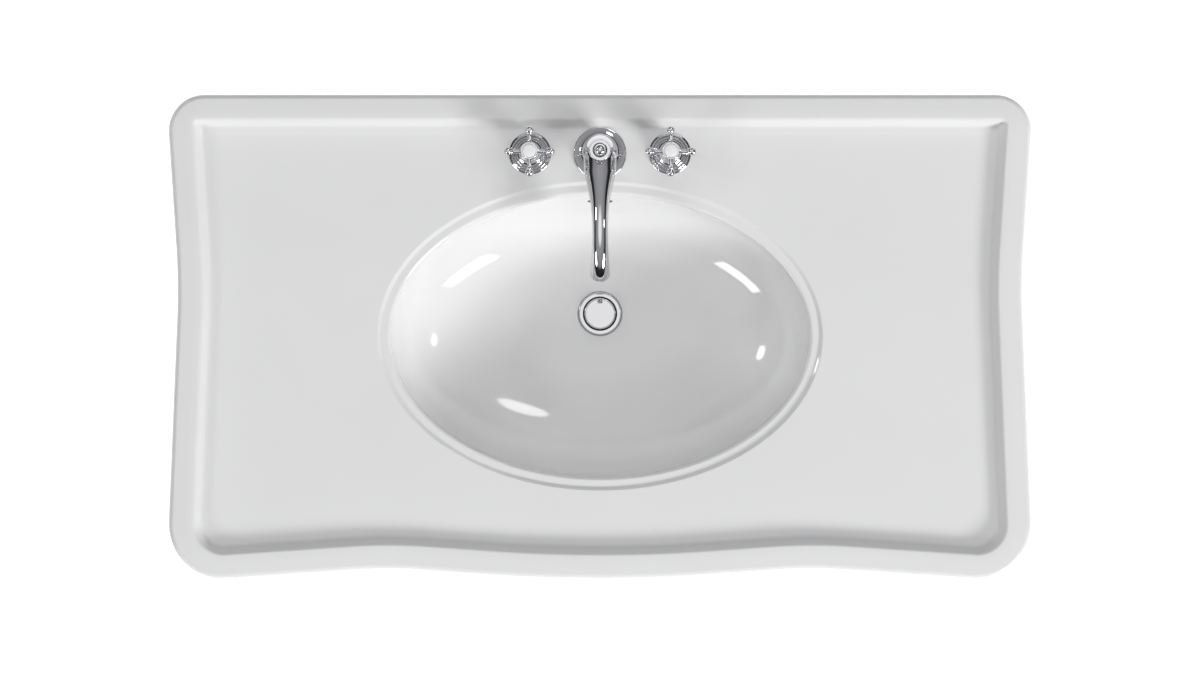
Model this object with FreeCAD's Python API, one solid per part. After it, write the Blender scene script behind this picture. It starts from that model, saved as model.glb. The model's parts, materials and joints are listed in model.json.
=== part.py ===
"""Console wash basin with a metal stand, a three-hole tap set and a pop-up waste.

The basin is one fireclay casting: a broad tray with a raised, waved rim and an oval bowl with a narrow sunk
ledge round it.  It stands on a plated brass stand: four turned legs on levelling feet, joined by ball
fittings and straight rails.  A swan-neck spout stands between a hot and a cold valve with cross handles, and
a lift rod through the spout works the waste plug by way of a strap and a pivot rod.

Millimetres.  +Z is up, the floor is Z = 0, the wall side is +Y and the user stands at -Y.  The origin is on
the floor, under the middle of the basin.
"""

import FreeCAD, Part
import math
import os

V = FreeCAD.Vector
X_AXIS, Y_AXIS, Z_AXIS = V(1, 0, 0), V(0, 1, 0), V(0, 0, 1)

# ---------------------------------------------------------------- driving dimensions
BASIN_W = 1220.0            # over the front lobes of the rim
BASIN_D = 685.0             # wall face to the front of the rim
RIM_Z = 880.0               # top of the raised rim
CERAMIC = 14.0              # wall thickness of the casting
TAP_SPACING = 198.0         # hot valve to cold valve
HALF_W, HALF_D = BASIN_W / 2, BASIN_D / 2

# Rim outline, as the circles it rolls round.  The straight stretches are their common tangents.
BACK_CORNER_R = 51.0
FRONT_CORNER_R = 78.0
WAIST_R, WAIST_IN, WAIST_Y = 900.0, 12.8, 65.0      # hollow in each side: radius, depth, place
DIP_R, DIP_IN, DIP_X = 740.0, 13.7, 300.0           # the two hollows in the front
BELLY_R = 2200.0                                    # the full front between them

# Basin section
RIM_THICK = 34.0            # height of the bullnosed rim
RIM_ROUND = 12.0
RIM_INSET = 40.5            # outer edge of the rim to the wall of the tray
TRAY_CORNER_R = 49.0        # the tray's back corners, as they would be out at the rim
TRAY_DEPTH = 15.0
TRAY_EDGE_R, TRAY_FOOT_R = 6.0, 8.0
APRON_INSET = 14.0          # the apron stands back under the rim
APRON_H = 85.0              # rim top to the foot of the apron
DECK_Z = RIM_Z - TRAY_DEPTH
DECK_UNDER_Z = DECK_Z - CERAMIC
APRON_Z = RIM_Z - APRON_H

# Ledge and bowl, as ellipses (half length along X, half length along Y)
BOWL_Y = 1.5                # middle of the bowl's mouth
LEDGE_SINK = 3.0            # the ledge lies a little under the deck
LEDGE_TOP, LEDGE_FOOT = (315.5, 219.0), (312.5, 216.0)
LEDGE_SOFTEN_R = 3.0
MOUTH = (297.0, 201.0)
MOUTH_EDGE_R = 6.0
LEDGE_Z = DECK_Z - LEDGE_SINK
BOWL_DEPTH = 132.0
FLOOR_Z = LEDGE_Z - BOWL_DEPTH
BOSS_THICK = 17.0           # ceramic under the waste
BOSS_R = 47.0
UNDER_BOSS_Z = FLOOR_Z - BOSS_THICK

# Waste
WASTE_Y = 34.0
WASTE_SEAT_R, WASTE_SEAT_DEPTH = 33.0, 3.0
WASTE_HOLE_R = 23.0
SEAT_Z = FLOOR_Z - WASTE_SEAT_DEPTH

# Tap set
TAP_HOLE_R = 17.5
VALVE_X, VALVE_Y = TAP_SPACING / 2, 260.0
SPOUT_Y = VALVE_Y
SHANK_R = 15.0
TUBE_HUB_Y = 248.0          # where the hot and cold tubes meet under the spout
TUBE_Z = DECK_Z - 62.0      # height of those tubes

# Wall fixing
WALL_HOLE_R, WALL_HOLE_X = 7.0, 400.0
WALL_HOLE_Z = (APRON_Z + DECK_UNDER_Z) / 2

# Stand
LEG_X, LEG_FRONT_Y, LEG_BACK_Y = 540.0, -272.5, 290.0
LEG_R, LEG_BORE_R = 16.0, 13.0
PLATE_R, PLATE_T, PAD_T = 52.0, 6.0, 2.0
PLATE_Z = APRON_Z - PAD_T - PLATE_T                 # underside of the corner plates
LEG_FOOT_Z = 26.0                                   # bottom end of the leg tube
RAIL_R, RAIL_BORE_R = 9.5, 7.7
UPPER_Z, LOWER_Z = 705.0, 215.0                     # rail heights
CROSS_Y = 110.0                                     # the low cross rail, behind the waste and the knees
BALL_R, SOCKET_R, SOCKET_ROOT, SOCKET_REACH, RAIL_PLUG = 25.0, 12.5, 8.0, 32.0, 10.0


# ---------------------------------------------------------------- small builders
def cylinder(radius, z0, z1, x=0.0, y=0.0):
    return Part.makeCylinder(radius, z1 - z0, V(x, y, z0), Z_AXIS)


def ring(outer, inner, z0, z1, x=0.0, y=0.0):
    return cylinder(outer, z0, z1, x, y).cut(cylinder(inner, z0 - 1, z1 + 1, x, y))


def rod(start, end, radius):
    """A round bar from one point to another."""
    way = end - start
    return Part.makeCylinder(radius, way.Length, start, way)


def pipe(start, end, outer, inner):
    """A round tube from one point to another, open at both ends."""
    way = (end - start).normalize()
    return rod(start, end, outer).cut(rod(start - way, end + way, inner))


def turned(profile, x=0.0, y=0.0, z=0.0):
    """A lathe-turned solid about a vertical axis, from (radius, height) points."""
    points = [V(r, 0, h) for r, h in profile]
    face = Part.Face(Part.makePolygon(points + points[:1]))
    solid = face.revolve(V(0, 0, 0), Z_AXIS, 360)
    solid.translate(V(x, y, z))
    return solid


def hexagon(across_flats, z0, z1, bore, x=0.0, y=0.0):
    """A hexagon nut about a vertical axis."""
    corner = across_flats / 2 / math.cos(math.radians(30))
    angles = [math.radians(60 * k) for k in range(7)]
    points = [V(x + corner * math.cos(a), y + corner * math.sin(a), z0) for a in angles]
    nut = Part.Face(Part.makePolygon(points)).extrude(V(0, 0, z1 - z0))
    bevel = (z1 - z0) * 0.15
    blank = turned([(0, z0), (corner * 0.93, z0), (corner * 1.02, z0 + bevel), (corner * 1.02, z1 - bevel),
                    (corner * 0.93, z1), (0, z1)], x, y)
    return nut.common(blank).cut(cylinder(bore, z0 - 1, z1 + 1, x, y))


def ball_profile(radius, first):
    """(radius, height) points of a ball about its middle, from an angle in degrees nearly to its top."""
    angles = [math.radians(a) for a in range(first, 81, 10)]
    return [(radius * math.cos(a), radius * math.sin(a)) for a in angles]


def lying(solid, start, toward):
    """Turns a solid built about +Z at the origin to lie along a direction from a point."""
    turn = FreeCAD.Rotation(Z_AXIS, toward)
    solid.Placement = FreeCAD.Placement(start, turn).multiply(solid.Placement)
    return solid


def fused(solids):
    return solids[0].fuse(solids[1:]).removeSplitter()


def save(node, *solids):
    """Writes one node.  Every solid in it stays a solid of its own."""
    pieces = []
    for solid in solids:
        pieces.extend(solid.Solids)
    for piece in pieces:
        if not piece.isValid() or piece.Volume <= 0:
            print("CHECK", node, "valid", piece.isValid(), "volume", piece.Volume)
    shape = pieces[0] if len(pieces) == 1 else Part.makeCompound(pieces)
    shape.exportStep("parts/%s.step" % node)
    print("%-22s solids %d  volume %.1f cm3" % (node, len(pieces), sum(p.Volume for p in pieces) / 1000))


# ---------------------------------------------------------------- rim outline
def tangent_normals(circles):
    """Directions, in radians, of the outward normals of the lines that join the circles in turn."""
    normals = []
    for (x0, y0, r0), (x1, y1, r1) in zip(circles, circles[1:]):
        lean = math.acos((r0 - r1) / math.hypot(x1 - x0, y1 - y0))
        normal = math.atan2(y1 - y0, x1 - x0) + lean
        normals.append(normal if normal < math.pi else normal - 2 * math.pi)
    return normals


def outline(inset, z=0.0, back_shift=0.0, back_corner_r=BACK_CORNER_R):
    """The rim's outline as a closed wire, moved inwards by an even distance.

    It is circles joined by the lines that touch them.  A hollow circle has a negative radius.  A shift of
    the back corners towards the wall makes the back of an inset outline flush again.
    """
    back_x = HALF_W - back_corner_r
    circles = [(back_x, HALF_D - back_corner_r + back_shift, back_corner_r - inset),
               (HALF_W - WAIST_IN + WAIST_R, WAIST_Y, -WAIST_R - inset),
               (HALF_W - FRONT_CORNER_R, FRONT_CORNER_R - HALF_D, FRONT_CORNER_R - inset),
               (DIP_X, DIP_IN - HALF_D - DIP_R, -DIP_R - inset),
               (0.0, BELLY_R - HALF_D, BELLY_R - inset)]
    normals = [math.pi / 2] + tangent_normals(circles)
    edges = []
    last = None
    for (x, y, r), enter, leave in zip(circles, normals, normals[1:]):
        start, middle, end = (V(x + r * math.cos(n), y + r * math.sin(n), 0)
                              for n in (enter, (enter + leave) / 2, leave))
        if last is not None:
            edges.append(Part.LineSegment(last, start).toShape())
        edges.append(Part.Arc(start, middle, end).toShape())
        last = end
    x, y, r = circles[-1]
    belly_start = V(x + r * math.cos(normals[-1]), y + r * math.sin(normals[-1]), 0)
    edges.append(Part.LineSegment(last, belly_start).toShape())
    edges += [edge.mirror(V(0, 0, 0), X_AXIS) for edge in edges]

    edges.append(Part.Arc(belly_start, V(0, y - r, 0), V(-belly_start.x, belly_start.y, 0)).toShape())
    back_y = circles[0][1] + circles[0][2]
    edges.append(Part.LineSegment(V(-back_x, back_y, 0), V(back_x, back_y, 0)).toShape())
    wire = Part.Wire(Part.__sortEdges__(edges))
    wire.translate(V(0, 0, z))
    return wire


def slab(inset, z0, z1, back_shift=0.0, back_corner_r=BACK_CORNER_R):
    return Part.Face(outline(inset, z0, back_shift, back_corner_r)).extrude(V(0, 0, z1 - z0))


# ---------------------------------------------------------------- basin
def oval(half_x, half_y, y, z):
    """A closed ellipse wire, level, longer along X."""
    curve = Part.Ellipse(V(0, y, z), half_x, half_y)
    return Part.Wire([curve.toShape()])


def bowl_form(grow, sink, top_z, end_r):
    """The bowl as a lofted solid: quarter-ellipse section, its middle drifting back to the waste."""
    depth = BOWL_DEPTH + sink
    first = math.asin((LEDGE_Z - top_z) / depth)
    wires = []
    for share in (0.0, 0.14, 0.28, 0.42, 0.56, 0.70, 0.82, 0.92, 1.0):
        turn = first + (math.pi / 2 - first) * share
        width, fall = math.cos(turn), math.sin(turn)
        half_x = end_r + (MOUTH[0] + grow - end_r) * width + 0.02
        half_y = end_r + (MOUTH[1] + grow - end_r) * width
        wires.append(oval(half_x, half_y, WASTE_Y + (BOWL_Y - WASTE_Y) * width, LEDGE_Z - depth * fall))
    return Part.makeLoft(wires, True, False)


def edges_at(solid, z, inside):
    """Edges that lie level at a height, within a half length along X."""
    boxes = [(edge, edge.BoundBox) for edge in solid.Edges]
    level = [(edge, box) for edge, box in boxes if abs(box.ZMin - z) < 1e-3 and abs(box.ZMax - z) < 1e-3]
    return [edge for edge, box in level if max(box.XMax, -box.XMin) <= inside]


def basin():
    rim = slab(0, RIM_Z - RIM_THICK, RIM_Z)
    rim_edges = edges_at(rim, RIM_Z, HALF_W + 1) + edges_at(rim, RIM_Z - RIM_THICK, HALF_W + 1)
    rim = rim.makeFillet(RIM_ROUND, rim_edges)
    # The back of the apron is flush with the rim, so that the basin stands flat against the wall.
    apron = slab(APRON_INSET, APRON_Z, RIM_Z - RIM_ROUND, APRON_INSET)
    apron = apron.makeFillet(5.0, edges_at(apron, APRON_Z, HALF_W))
    hollow = slab(APRON_INSET + CERAMIC, APRON_Z - 1, DECK_UNDER_Z, APRON_INSET)
    body = fused([rim, apron]).cut(hollow)

    # Tray
    tray = slab(RIM_INSET, DECK_Z, RIM_Z + 1, 0, TRAY_CORNER_R)
    tray = tray.makeFillet(TRAY_FOOT_R, edges_at(tray, DECK_Z, HALF_W))
    body = body.cut(tray)
    body = body.makeFillet(TRAY_EDGE_R, edges_at(body, RIM_Z, HALF_W - RIM_INSET + 1))

    # Ledge, bowl shell and bowl
    ledge = Part.makeLoft([oval(*LEDGE_FOOT, BOWL_Y, LEDGE_Z), oval(*LEDGE_TOP, BOWL_Y, DECK_Z)], True, True)
    body = body.cut(ledge)
    ledge_edges = edges_at(body, LEDGE_Z, LEDGE_FOOT[0] + 1) + edges_at(body, DECK_Z, LEDGE_TOP[0] + 1)
    body = body.makeFillet(LEDGE_SOFTEN_R, ledge_edges)
    shell = bowl_form(CERAMIC, BOSS_THICK, LEDGE_Z - 1, BOSS_R)
    body = body.fuse(shell)
    body = body.cut(bowl_form(0.0, 0.0, LEDGE_Z, WASTE_SEAT_R + 1.5))
    body = body.makeFillet(MOUTH_EDGE_R, edges_at(body, LEDGE_Z, MOUTH[0] + 1))

    # Holes: waste, three tap holes and two for the wall bolts
    holes = [cylinder(WASTE_SEAT_R, SEAT_Z, FLOOR_Z + 1, 0, WASTE_Y),
             cylinder(WASTE_HOLE_R, UNDER_BOSS_Z - 1, FLOOR_Z, 0, WASTE_Y)]
    for x, y in ((-VALVE_X, VALVE_Y), (0, SPOUT_Y), (VALVE_X, VALVE_Y)):
        holes.append(cylinder(TAP_HOLE_R, DECK_UNDER_Z - 1, DECK_Z + 1, x, y))
    for x in (-WALL_HOLE_X, WALL_HOLE_X):
        start, end = V(x, HALF_D - CERAMIC - 6, WALL_HOLE_Z), V(x, HALF_D + 1, WALL_HOLE_Z)
        holes.append(rod(start, end, WALL_HOLE_R))
    for hole in holes:
        body = body.cut(hole)
    return body.removeSplitter()


def quarters(solid):
    """The solid cut into four where the middle line and the bowl's cross line pass through it."""
    pieces = []
    for x, y in ((-HALF_W, BOWL_Y - BASIN_W), (0, BOWL_Y - BASIN_W), (-HALF_W, BOWL_Y), (0, BOWL_Y)):
        quarter = Part.makeBox(HALF_W, BASIN_W, RIM_Z, V(x, y, 0))
        pieces += solid.common(quarter).Solids
    return pieces


def basin_sections(casting):
    """The one casting, written as touching sections with simple shapes: bowl, deck, rim and apron."""
    bowl_zone = Part.Face(oval(LEDGE_TOP[0] + 3, LEDGE_TOP[1] + 3, BOWL_Y, 0)).extrude(V(0, 0, RIM_Z))
    deck_zone = slab(RIM_INSET + TRAY_FOOT_R + 1, 0, RIM_Z)
    apron_zone = slab(-1, 0, RIM_Z - RIM_THICK)
    surround = casting.cut(bowl_zone)
    frame = surround.cut(deck_zone)
    sections = []
    for part in (casting.common(bowl_zone), surround.common(deck_zone), frame.cut(apron_zone),
                 frame.common(apron_zone)):
        sections += quarters(part)
    return sections


# ---------------------------------------------------------------- valves
WASHER_T, LOCKNUT_T = 3.0, 8.0
WASHER_Z = DECK_UNDER_Z - WASHER_T
LOCKNUT_Z = WASHER_Z - LOCKNUT_T
VALVE_SHANK_R, CARTRIDGE_R, CHAMBER_R, SPINDLE_R = 13.0, 9.0, 7.5, 4.0
RUNNING = 0.06                      # radial clearance of a spindle in its bore
VALVE_BODY_R = 16.0
DISC_T = 3.0
CARTRIDGE_Z = DECK_Z - 40.0         # seat of the ceramic discs
ARM_Z = DECK_Z + 46.0
ARM_REACH, BALL_END_R = 35.5, 5.6
INDEX_R = 9.2


def valve_direction(side):
    """Level direction from a valve towards the hub under the spout."""
    return V(-side * VALVE_X, TUBE_HUB_Y - VALVE_Y, 0).normalize()


def escutcheon(x):
    """Bell with three stepped rings at its foot."""
    outer = [(29.8, 0), (29.8, 2.6), (29.2, 3.6), (27.6, 3.9), (27.4, 5.6), (26.5, 6.5), (24.8, 6.8),
             (24.6, 8.5), (23.7, 9.4), (22.0, 9.7), (20.0, 10.4), (17.2, 12.6), (15.0, 15.6), (13.4, 19.4),
             (12.6, 23.5), (12.6, 25.0), (13.4, 25.8), (13.4, 28.4), (12.8, 29.6), (11.8, 30.0)]
    inner = [(10.2, 30.0), (10.2, 21.0), (11.0, 20.0), (14.4, 13.0), (21.0, 7.0), (27.0, 2.0), (27.0, 0)]
    return turned(outer + inner, x, VALVE_Y, DECK_Z)


def valve_body(side):
    """Shank through the deck, with the inlet below and the outlet at its side."""
    x = side * VALVE_X
    body = fused([cylinder(VALVE_SHANK_R, DECK_Z - 44, DECK_Z + 10, x, VALVE_Y),
                  cylinder(VALVE_BODY_R, DECK_Z - 76, DECK_Z - 44, x, VALVE_Y),
                  cylinder(10.4, DECK_Z - 94, DECK_Z - 76, x, VALVE_Y),
                  rod(V(x, VALVE_Y, TUBE_Z), V(x, VALVE_Y, TUBE_Z) + valve_direction(side) * 24, 8.0)])
    bores = [cylinder(CARTRIDGE_R, CARTRIDGE_Z, DECK_Z + 11, x, VALVE_Y),
             cylinder(6.0, DECK_Z - 95, CARTRIDGE_Z + 1, x, VALVE_Y),
             rod(V(x, VALVE_Y, TUBE_Z), V(x, VALVE_Y, TUBE_Z) + valve_direction(side) * 25, 5.0)]
    for bore in bores:
        body = body.cut(bore)
    return body


def cartridge(x):
    """Brass sleeve that guides the spindle and holds the discs.  Its top thread carries the escutcheon."""
    sleeve = fused([cylinder(CARTRIDGE_R, CARTRIDGE_Z, DECK_Z + 11, x, VALVE_Y),
                    hexagon(22, DECK_Z + 10, DECK_Z + 15, SPINDLE_R, x, VALVE_Y),
                    cylinder(7.0, DECK_Z + 14, DECK_Z + 22, x, VALVE_Y),
                    cylinder(10.2, DECK_Z + 21, DECK_Z + 27, x, VALVE_Y)])
    sleeve = sleeve.cut(cylinder(CHAMBER_R, CARTRIDGE_Z - 1, CARTRIDGE_Z + 12, x, VALVE_Y))
    return sleeve.cut(cylinder(SPINDLE_R + RUNNING, CARTRIDGE_Z, DECK_Z + 28, x, VALVE_Y))


def port_disc(z0, radius, x, along_x):
    """Ceramic disc with two round ports."""
    disc = cylinder(radius, z0, z0 + DISC_T, x, VALVE_Y)
    for way in (-4.0, 4.0):
        offset = (way, 0) if along_x else (0, way)
        disc = disc.cut(cylinder(2.1, z0 - 1, z0 + DISC_T + 1, x + offset[0], VALVE_Y + offset[1]))
    return disc


def spindle(x):
    """Round stem with a driving foot on the moving disc and a tapped end for the handle screw."""
    stem = fused([cylinder(SPINDLE_R, CARTRIDGE_Z + 10, DECK_Z + 48, x, VALVE_Y),
                  cylinder(7.0, CARTRIDGE_Z + 2 * DISC_T + 0.1, CARTRIDGE_Z + 10.4, x, VALVE_Y)])
    return stem.cut(cylinder(2.0, DECK_Z + 36, DECK_Z + 49, x, VALVE_Y))


def handle(x):
    """Hub with four turned arms, each with a collar and a ball end."""
    foot = [(0, 30.6), (12.0, 30.6), (12.4, 32.2), (11.4, 33.8), (9.6, 36.0), (8.8, 39.0), (8.8, 41.5)]
    boss = [(9.8, 43.0), (9.8, 49.0), (9.0, 50.4)]
    cup = [(9.4, 51.8), (11.0, 53.2), (11.5, 54.6), (11.5, 57.6), (11.0, 58.4), (0, 58.4)]
    hub = turned(foot + boss + cup, x, VALVE_Y, DECK_Z)
    shaft = [(0, 6), (4.6, 6), (3.4, 11.5), (2.7, 15), (2.6, 21), (3.0, 23)]
    collar = [(4.5, 23.6), (4.7, 24.6), (4.5, 25.6), (3.4, 26.2)]
    ball = [(r, ARM_REACH - BALL_END_R + z) for r, z in ball_profile(BALL_END_R, -40)]
    arms = []
    for quarter in range(4):
        arm = turned(shaft + collar + ball + [(0, ARM_REACH)])
        heading = V(math.cos(quarter * math.pi / 2), math.sin(quarter * math.pi / 2), 0)
        arms.append(lying(arm, V(x, VALVE_Y, ARM_Z), heading))
    cross = fused([hub] + arms)
    for radius, z0, z1 in ((SPINDLE_R, 30, 48), (2.0, 47, 52), (4.7, 51, 55), (INDEX_R + 0.4, 54.2, 60)):
        cross = cross.cut(cylinder(radius, DECK_Z + z0, DECK_Z + z1, x, VALVE_Y))
    return cross


def index_button(x):
    """Plain white porcelain disc, slightly domed."""
    dome = [(INDEX_R, 57.4), (8.8, 58.0), (7.6, 58.6), (4.0, 59.3), (0, 59.5)]
    return turned([(0, 54.2), (INDEX_R, 54.2)] + dome, x, VALVE_Y, DECK_Z)


def handle_screw(x):
    screw = cylinder(2.0, DECK_Z + 38, DECK_Z + 51, x, VALVE_Y)
    screw = screw.fuse(cylinder(4.6, DECK_Z + 51, DECK_Z + 54, x, VALVE_Y)).removeSplitter()
    slot = Part.makeBox(10, 1.2, 1.4, V(x - 5, VALVE_Y - 0.6, DECK_Z + 52.7))
    return screw.cut(slot)


def cross_tube(side):
    """Tube from a valve's outlet to the tee under the spout."""
    way = valve_direction(side)
    valve, hub = V(side * VALVE_X, VALVE_Y, TUBE_Z), V(0, TUBE_HUB_Y, TUBE_Z)
    return pipe(valve + way * 24, hub - way * 22, 5.0, 4.0)


def tube_nuts():
    """Compression nuts at both ends of both tubes."""
    nuts = []
    for side in (-1, 1):
        way = valve_direction(side)
        for start in (V(side * VALVE_X, VALVE_Y, TUBE_Z) + way * 24, V(0, TUBE_HUB_Y, TUBE_Z) - way * 32):
            nuts.append(lying(hexagon(18, 0, 10, 5.0), start, way))
    return nuts


# ---------------------------------------------------------------- spout
WATER_S, WATER_R = 9.5, 4.0         # waterway in the shank: distance in front of the lift rod, radius
ROD_R, ROD_CLEAR = 2.5, 0.4
COLLAR_H = 72.0                     # deck to the top of the collar

# Neck of the spout: distance in front of the column, height above the deck, radius
NECK = ((12, 36, 23.4), (34, 45, 21.6), (58, 57, 16.0), (82, 66.5, 12.6), (107, 70.5, 11.3),
        (132, 67.5, 11.6), (152, 58.5, 12.6), (165, 48.5, 13.6), (171.5, 40.5, 14.2))
OUTLET_TILT = -86.0                 # the last section looks almost straight down
AERATOR_R, AERATOR_Z = 10.6, DECK_Z + 40.0


def neck_sections(thinner, first):
    """Circles square to the neck's line, from a station on."""
    wires = []
    line = Part.BSplineCurve()
    line.interpolate([V(0, s, z) for s, z, _ in NECK])
    for k, (s, z, r) in enumerate(NECK):
        if k < first:
            continue
        along = line.tangent(line.parameter(V(0, s, z)))[0]
        tilt = math.atan2(along.z, along.y) if k < len(NECK) - 1 else math.radians(OUTLET_TILT)
        circle = Part.Wire([Part.Circle(V(0, 0, 0), Z_AXIS, r - thinner).toShape()])
        circle.rotate(V(0, 0, 0), X_AXIS, 90 + math.degrees(-tilt))
        circle.translate(V(0, SPOUT_Y - s, DECK_Z + z))
        wires.append(circle)
    return wires


def spout_hollow():
    """Collar recess, bore for the lift rod and waterway, joined into one tool."""
    recess = turned([(0, 66.5), (8.6, 66.5), (10.6, 68.5), (11.0, 73.0), (0, 73.0)], 0, SPOUT_Y, DECK_Z)
    rod_bore = cylinder(ROD_R + ROD_CLEAR, DECK_Z - 1, DECK_Z + COLLAR_H, 0, SPOUT_Y)
    water = cylinder(WATER_R, DECK_Z - 1, DECK_Z + 42, 0, SPOUT_Y - WATER_S)
    first_s, first_z, _ = NECK[1]
    feed = rod(V(0, SPOUT_Y - WATER_S, DECK_Z + 38), V(0, SPOUT_Y - first_s, DECK_Z + first_z), WATER_R)
    channel = Part.makeLoft(neck_sections(4.2, 1), True, False)
    seat = cylinder(AERATOR_R, DECK_Z + 30, AERATOR_Z + 9, 0, SPOUT_Y - NECK[-1][0])
    return channel.fuse([feed, water, seat, rod_bore, recess])


def spout_body():
    """Column with its collar, and the swan neck that grows out of it."""
    base = [(0, 0), (37.5, 0), (37.5, 2.2), (36.2, 3.6), (31.5, 5.0), (26.5, 7.6), (22.6, 11.2),
            (20.4, 15.4)]
    bead = [(19.8, 18.2), (21.6, 19.2), (22.2, 20.6), (21.6, 22.0), (20.0, 23.0)]
    urn = [(21.6, 26.4), (23.8, 30.6), (25.0, 35.6), (24.8, 41.4), (22.6, 47.4), (18.8, 52.6), (14.8, 56.8),
           (12.2, 60.2), (11.6, 62.6)]
    collar = [(12.0, 64.4), (14.0, 65.6), (14.7, 67.2), (14.7, 70.2), (14.0, 71.6), (12.8, COLLAR_H),
              (0, COLLAR_H)]
    column = turned(base + bead + urn + collar, 0, SPOUT_Y, DECK_Z)
    solids = [column, Part.makeLoft(neck_sections(0, 0), True, False)]
    for side in (-1, 1):                # pointed tips at the sides of the neck
        tip = turned([(0, 0), (4.2, 0), (0, 8.0)])
        solids.append(lying(tip, V(side * 10.5, SPOUT_Y - 71, DECK_Z + 60), V(side, 0, -0.25)))
    return fused(solids).cut(spout_hollow())


def spout_shank():
    shank = cylinder(SHANK_R, DECK_Z - 48, DECK_Z, 0, SPOUT_Y)
    shank = shank.cut(cylinder(ROD_R + ROD_CLEAR, DECK_Z - 49, DECK_Z + 1, 0, SPOUT_Y))
    return shank.cut(cylinder(WATER_R, DECK_Z - 49, DECK_Z + 1, 0, SPOUT_Y - WATER_S))


def spout_tee():
    """Takes the hot and the cold tube and leads them up into the shank, in front of the lift rod."""
    hub = V(0, TUBE_HUB_Y, TUBE_Z)
    stub_y = SPOUT_Y - WATER_S
    solids = [Part.makeSphere(8.0, hub), rod(V(0, stub_y, TUBE_Z), V(0, stub_y, DECK_Z - 48), 5.6)]
    bores = [rod(V(0, stub_y, TUBE_Z), V(0, stub_y, DECK_Z - 47), WATER_R)]
    for side in (-1, 1):
        way = valve_direction(side)
        solids.append(rod(hub, hub - way * 22, 7.4))
        bores.append(rod(hub, hub - way * 23, WATER_R))
    tee = fused(solids)
    for bore in bores:
        tee = tee.cut(bore)
    return tee


def aerator():
    """Threaded ring with a perforated plate at the outlet."""
    lip_y = SPOUT_Y - NECK[-1][0]
    profile = [(0, 1.5), (8.4, 1.5), (8.4, 0), (AERATOR_R, 0), (AERATOR_R, 8), (8.4, 8), (8.4, 4), (0, 4)]
    body = turned(profile, 0, lip_y, AERATOR_Z)
    for count, radius in ((1, 0.0), (6, 3.0), (12, 6.0)):
        for k in range(count):
            turn = 2 * math.pi * k / count
            x, y = radius * math.cos(turn), lip_y + radius * math.sin(turn)
            body = body.cut(cylinder(0.8, AERATOR_Z, AERATOR_Z + 5, x, y))
    return body


# ---------------------------------------------------------------- waste and its linkage
BODY_R, BODY_BORE_R = 21.0, 19.0
PIVOT_Z = FLOOR_Z - 66.0
PIVOT_Y = WASTE_Y + 27.0            # middle of the ball
PIVOT_BALL_R, PIVOT_ROD_R = 5.5, 2.4
PIVOT_TILT = 6.5                    # degrees each way from level
STRAP_T = 1.6
STRAP_Y = SPOUT_Y - ROD_R - STRAP_T / 2     # the strap lies against the front of the lift rod
LIFT = 2 * (STRAP_Y - PIVOT_Y) * math.tan(math.radians(PIVOT_TILT))
STOPPER_TRAVEL = LIFT * (PIVOT_Y - WASTE_Y) / (STRAP_Y - PIVOT_Y)
STRAP_HOLE_Z = PIVOT_Z - LIFT / 2
SCREW_Z, SCREW_R = STRAP_HOLE_Z + 55.0, 2.0
BODY_END_Z = PIVOT_Z - 28.0
TAIL_R, TAIL_END_Z = 16.0, PIVOT_Z - 130.0
EYE_Z = PIVOT_Z + STOPPER_TRAVEL / 2
PLUG_STAND = 1.4                    # underside of the shut plug above its seat
SEAL_H = 2.4


def waste_body():
    """Flanged tube through the basin, with a side port for the pivot ball."""
    seat = [(BODY_BORE_R, SEAT_Z - 2.4), (23.6, SEAT_Z + 1.6), (24.2, SEAT_Z + 3.0)]
    flange = [(26.0, SEAT_Z + 3.8), (29.0, SEAT_Z + 3.8), (31.4, SEAT_Z + 2.6), (31.8, SEAT_Z),
              (BODY_R, SEAT_Z)]
    lower_end = [(BODY_R, BODY_END_Z), (TAIL_R, BODY_END_Z), (TAIL_R, BODY_END_Z + 12)]
    tube = turned(seat + flange + lower_end + [(BODY_BORE_R, BODY_END_Z + 15)], 0, WASTE_Y)
    port = rod(V(0, WASTE_Y + 18, PIVOT_Z), V(0, PIVOT_Y + 8, PIVOT_Z), 10.0)
    port = port.cut(cylinder(BODY_BORE_R, PIVOT_Z - 12, PIVOT_Z + 12, 0, WASTE_Y))
    body = fused([tube, port])
    return body.cut(rod(V(0, WASTE_Y, PIVOT_Z), V(0, PIVOT_Y + 9, PIVOT_Z), PIVOT_BALL_R + 0.35))


def pivot_nut():
    """Cap that holds the ball in its port."""
    nut = hexagon(25, 0, 13, 4.8)
    nut = nut.cut(cylinder(10.0, -1, 4.0))
    return lying(nut, V(0, PIVOT_Y + 4, PIVOT_Z), Y_AXIS)


def pivot_rod():
    """Rod with its ball, level halfway through the travel and tipped down at the back at rest."""
    bar = rod(V(0, WASTE_Y - 4, PIVOT_Z), V(0, STRAP_Y + 12, PIVOT_Z), PIVOT_ROD_R)
    solid = fused([bar, Part.makeSphere(PIVOT_BALL_R, V(0, PIVOT_Y, PIVOT_Z))])
    solid.rotate(V(0, PIVOT_Y, PIVOT_Z), X_AXIS, -PIVOT_TILT)
    return solid


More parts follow.
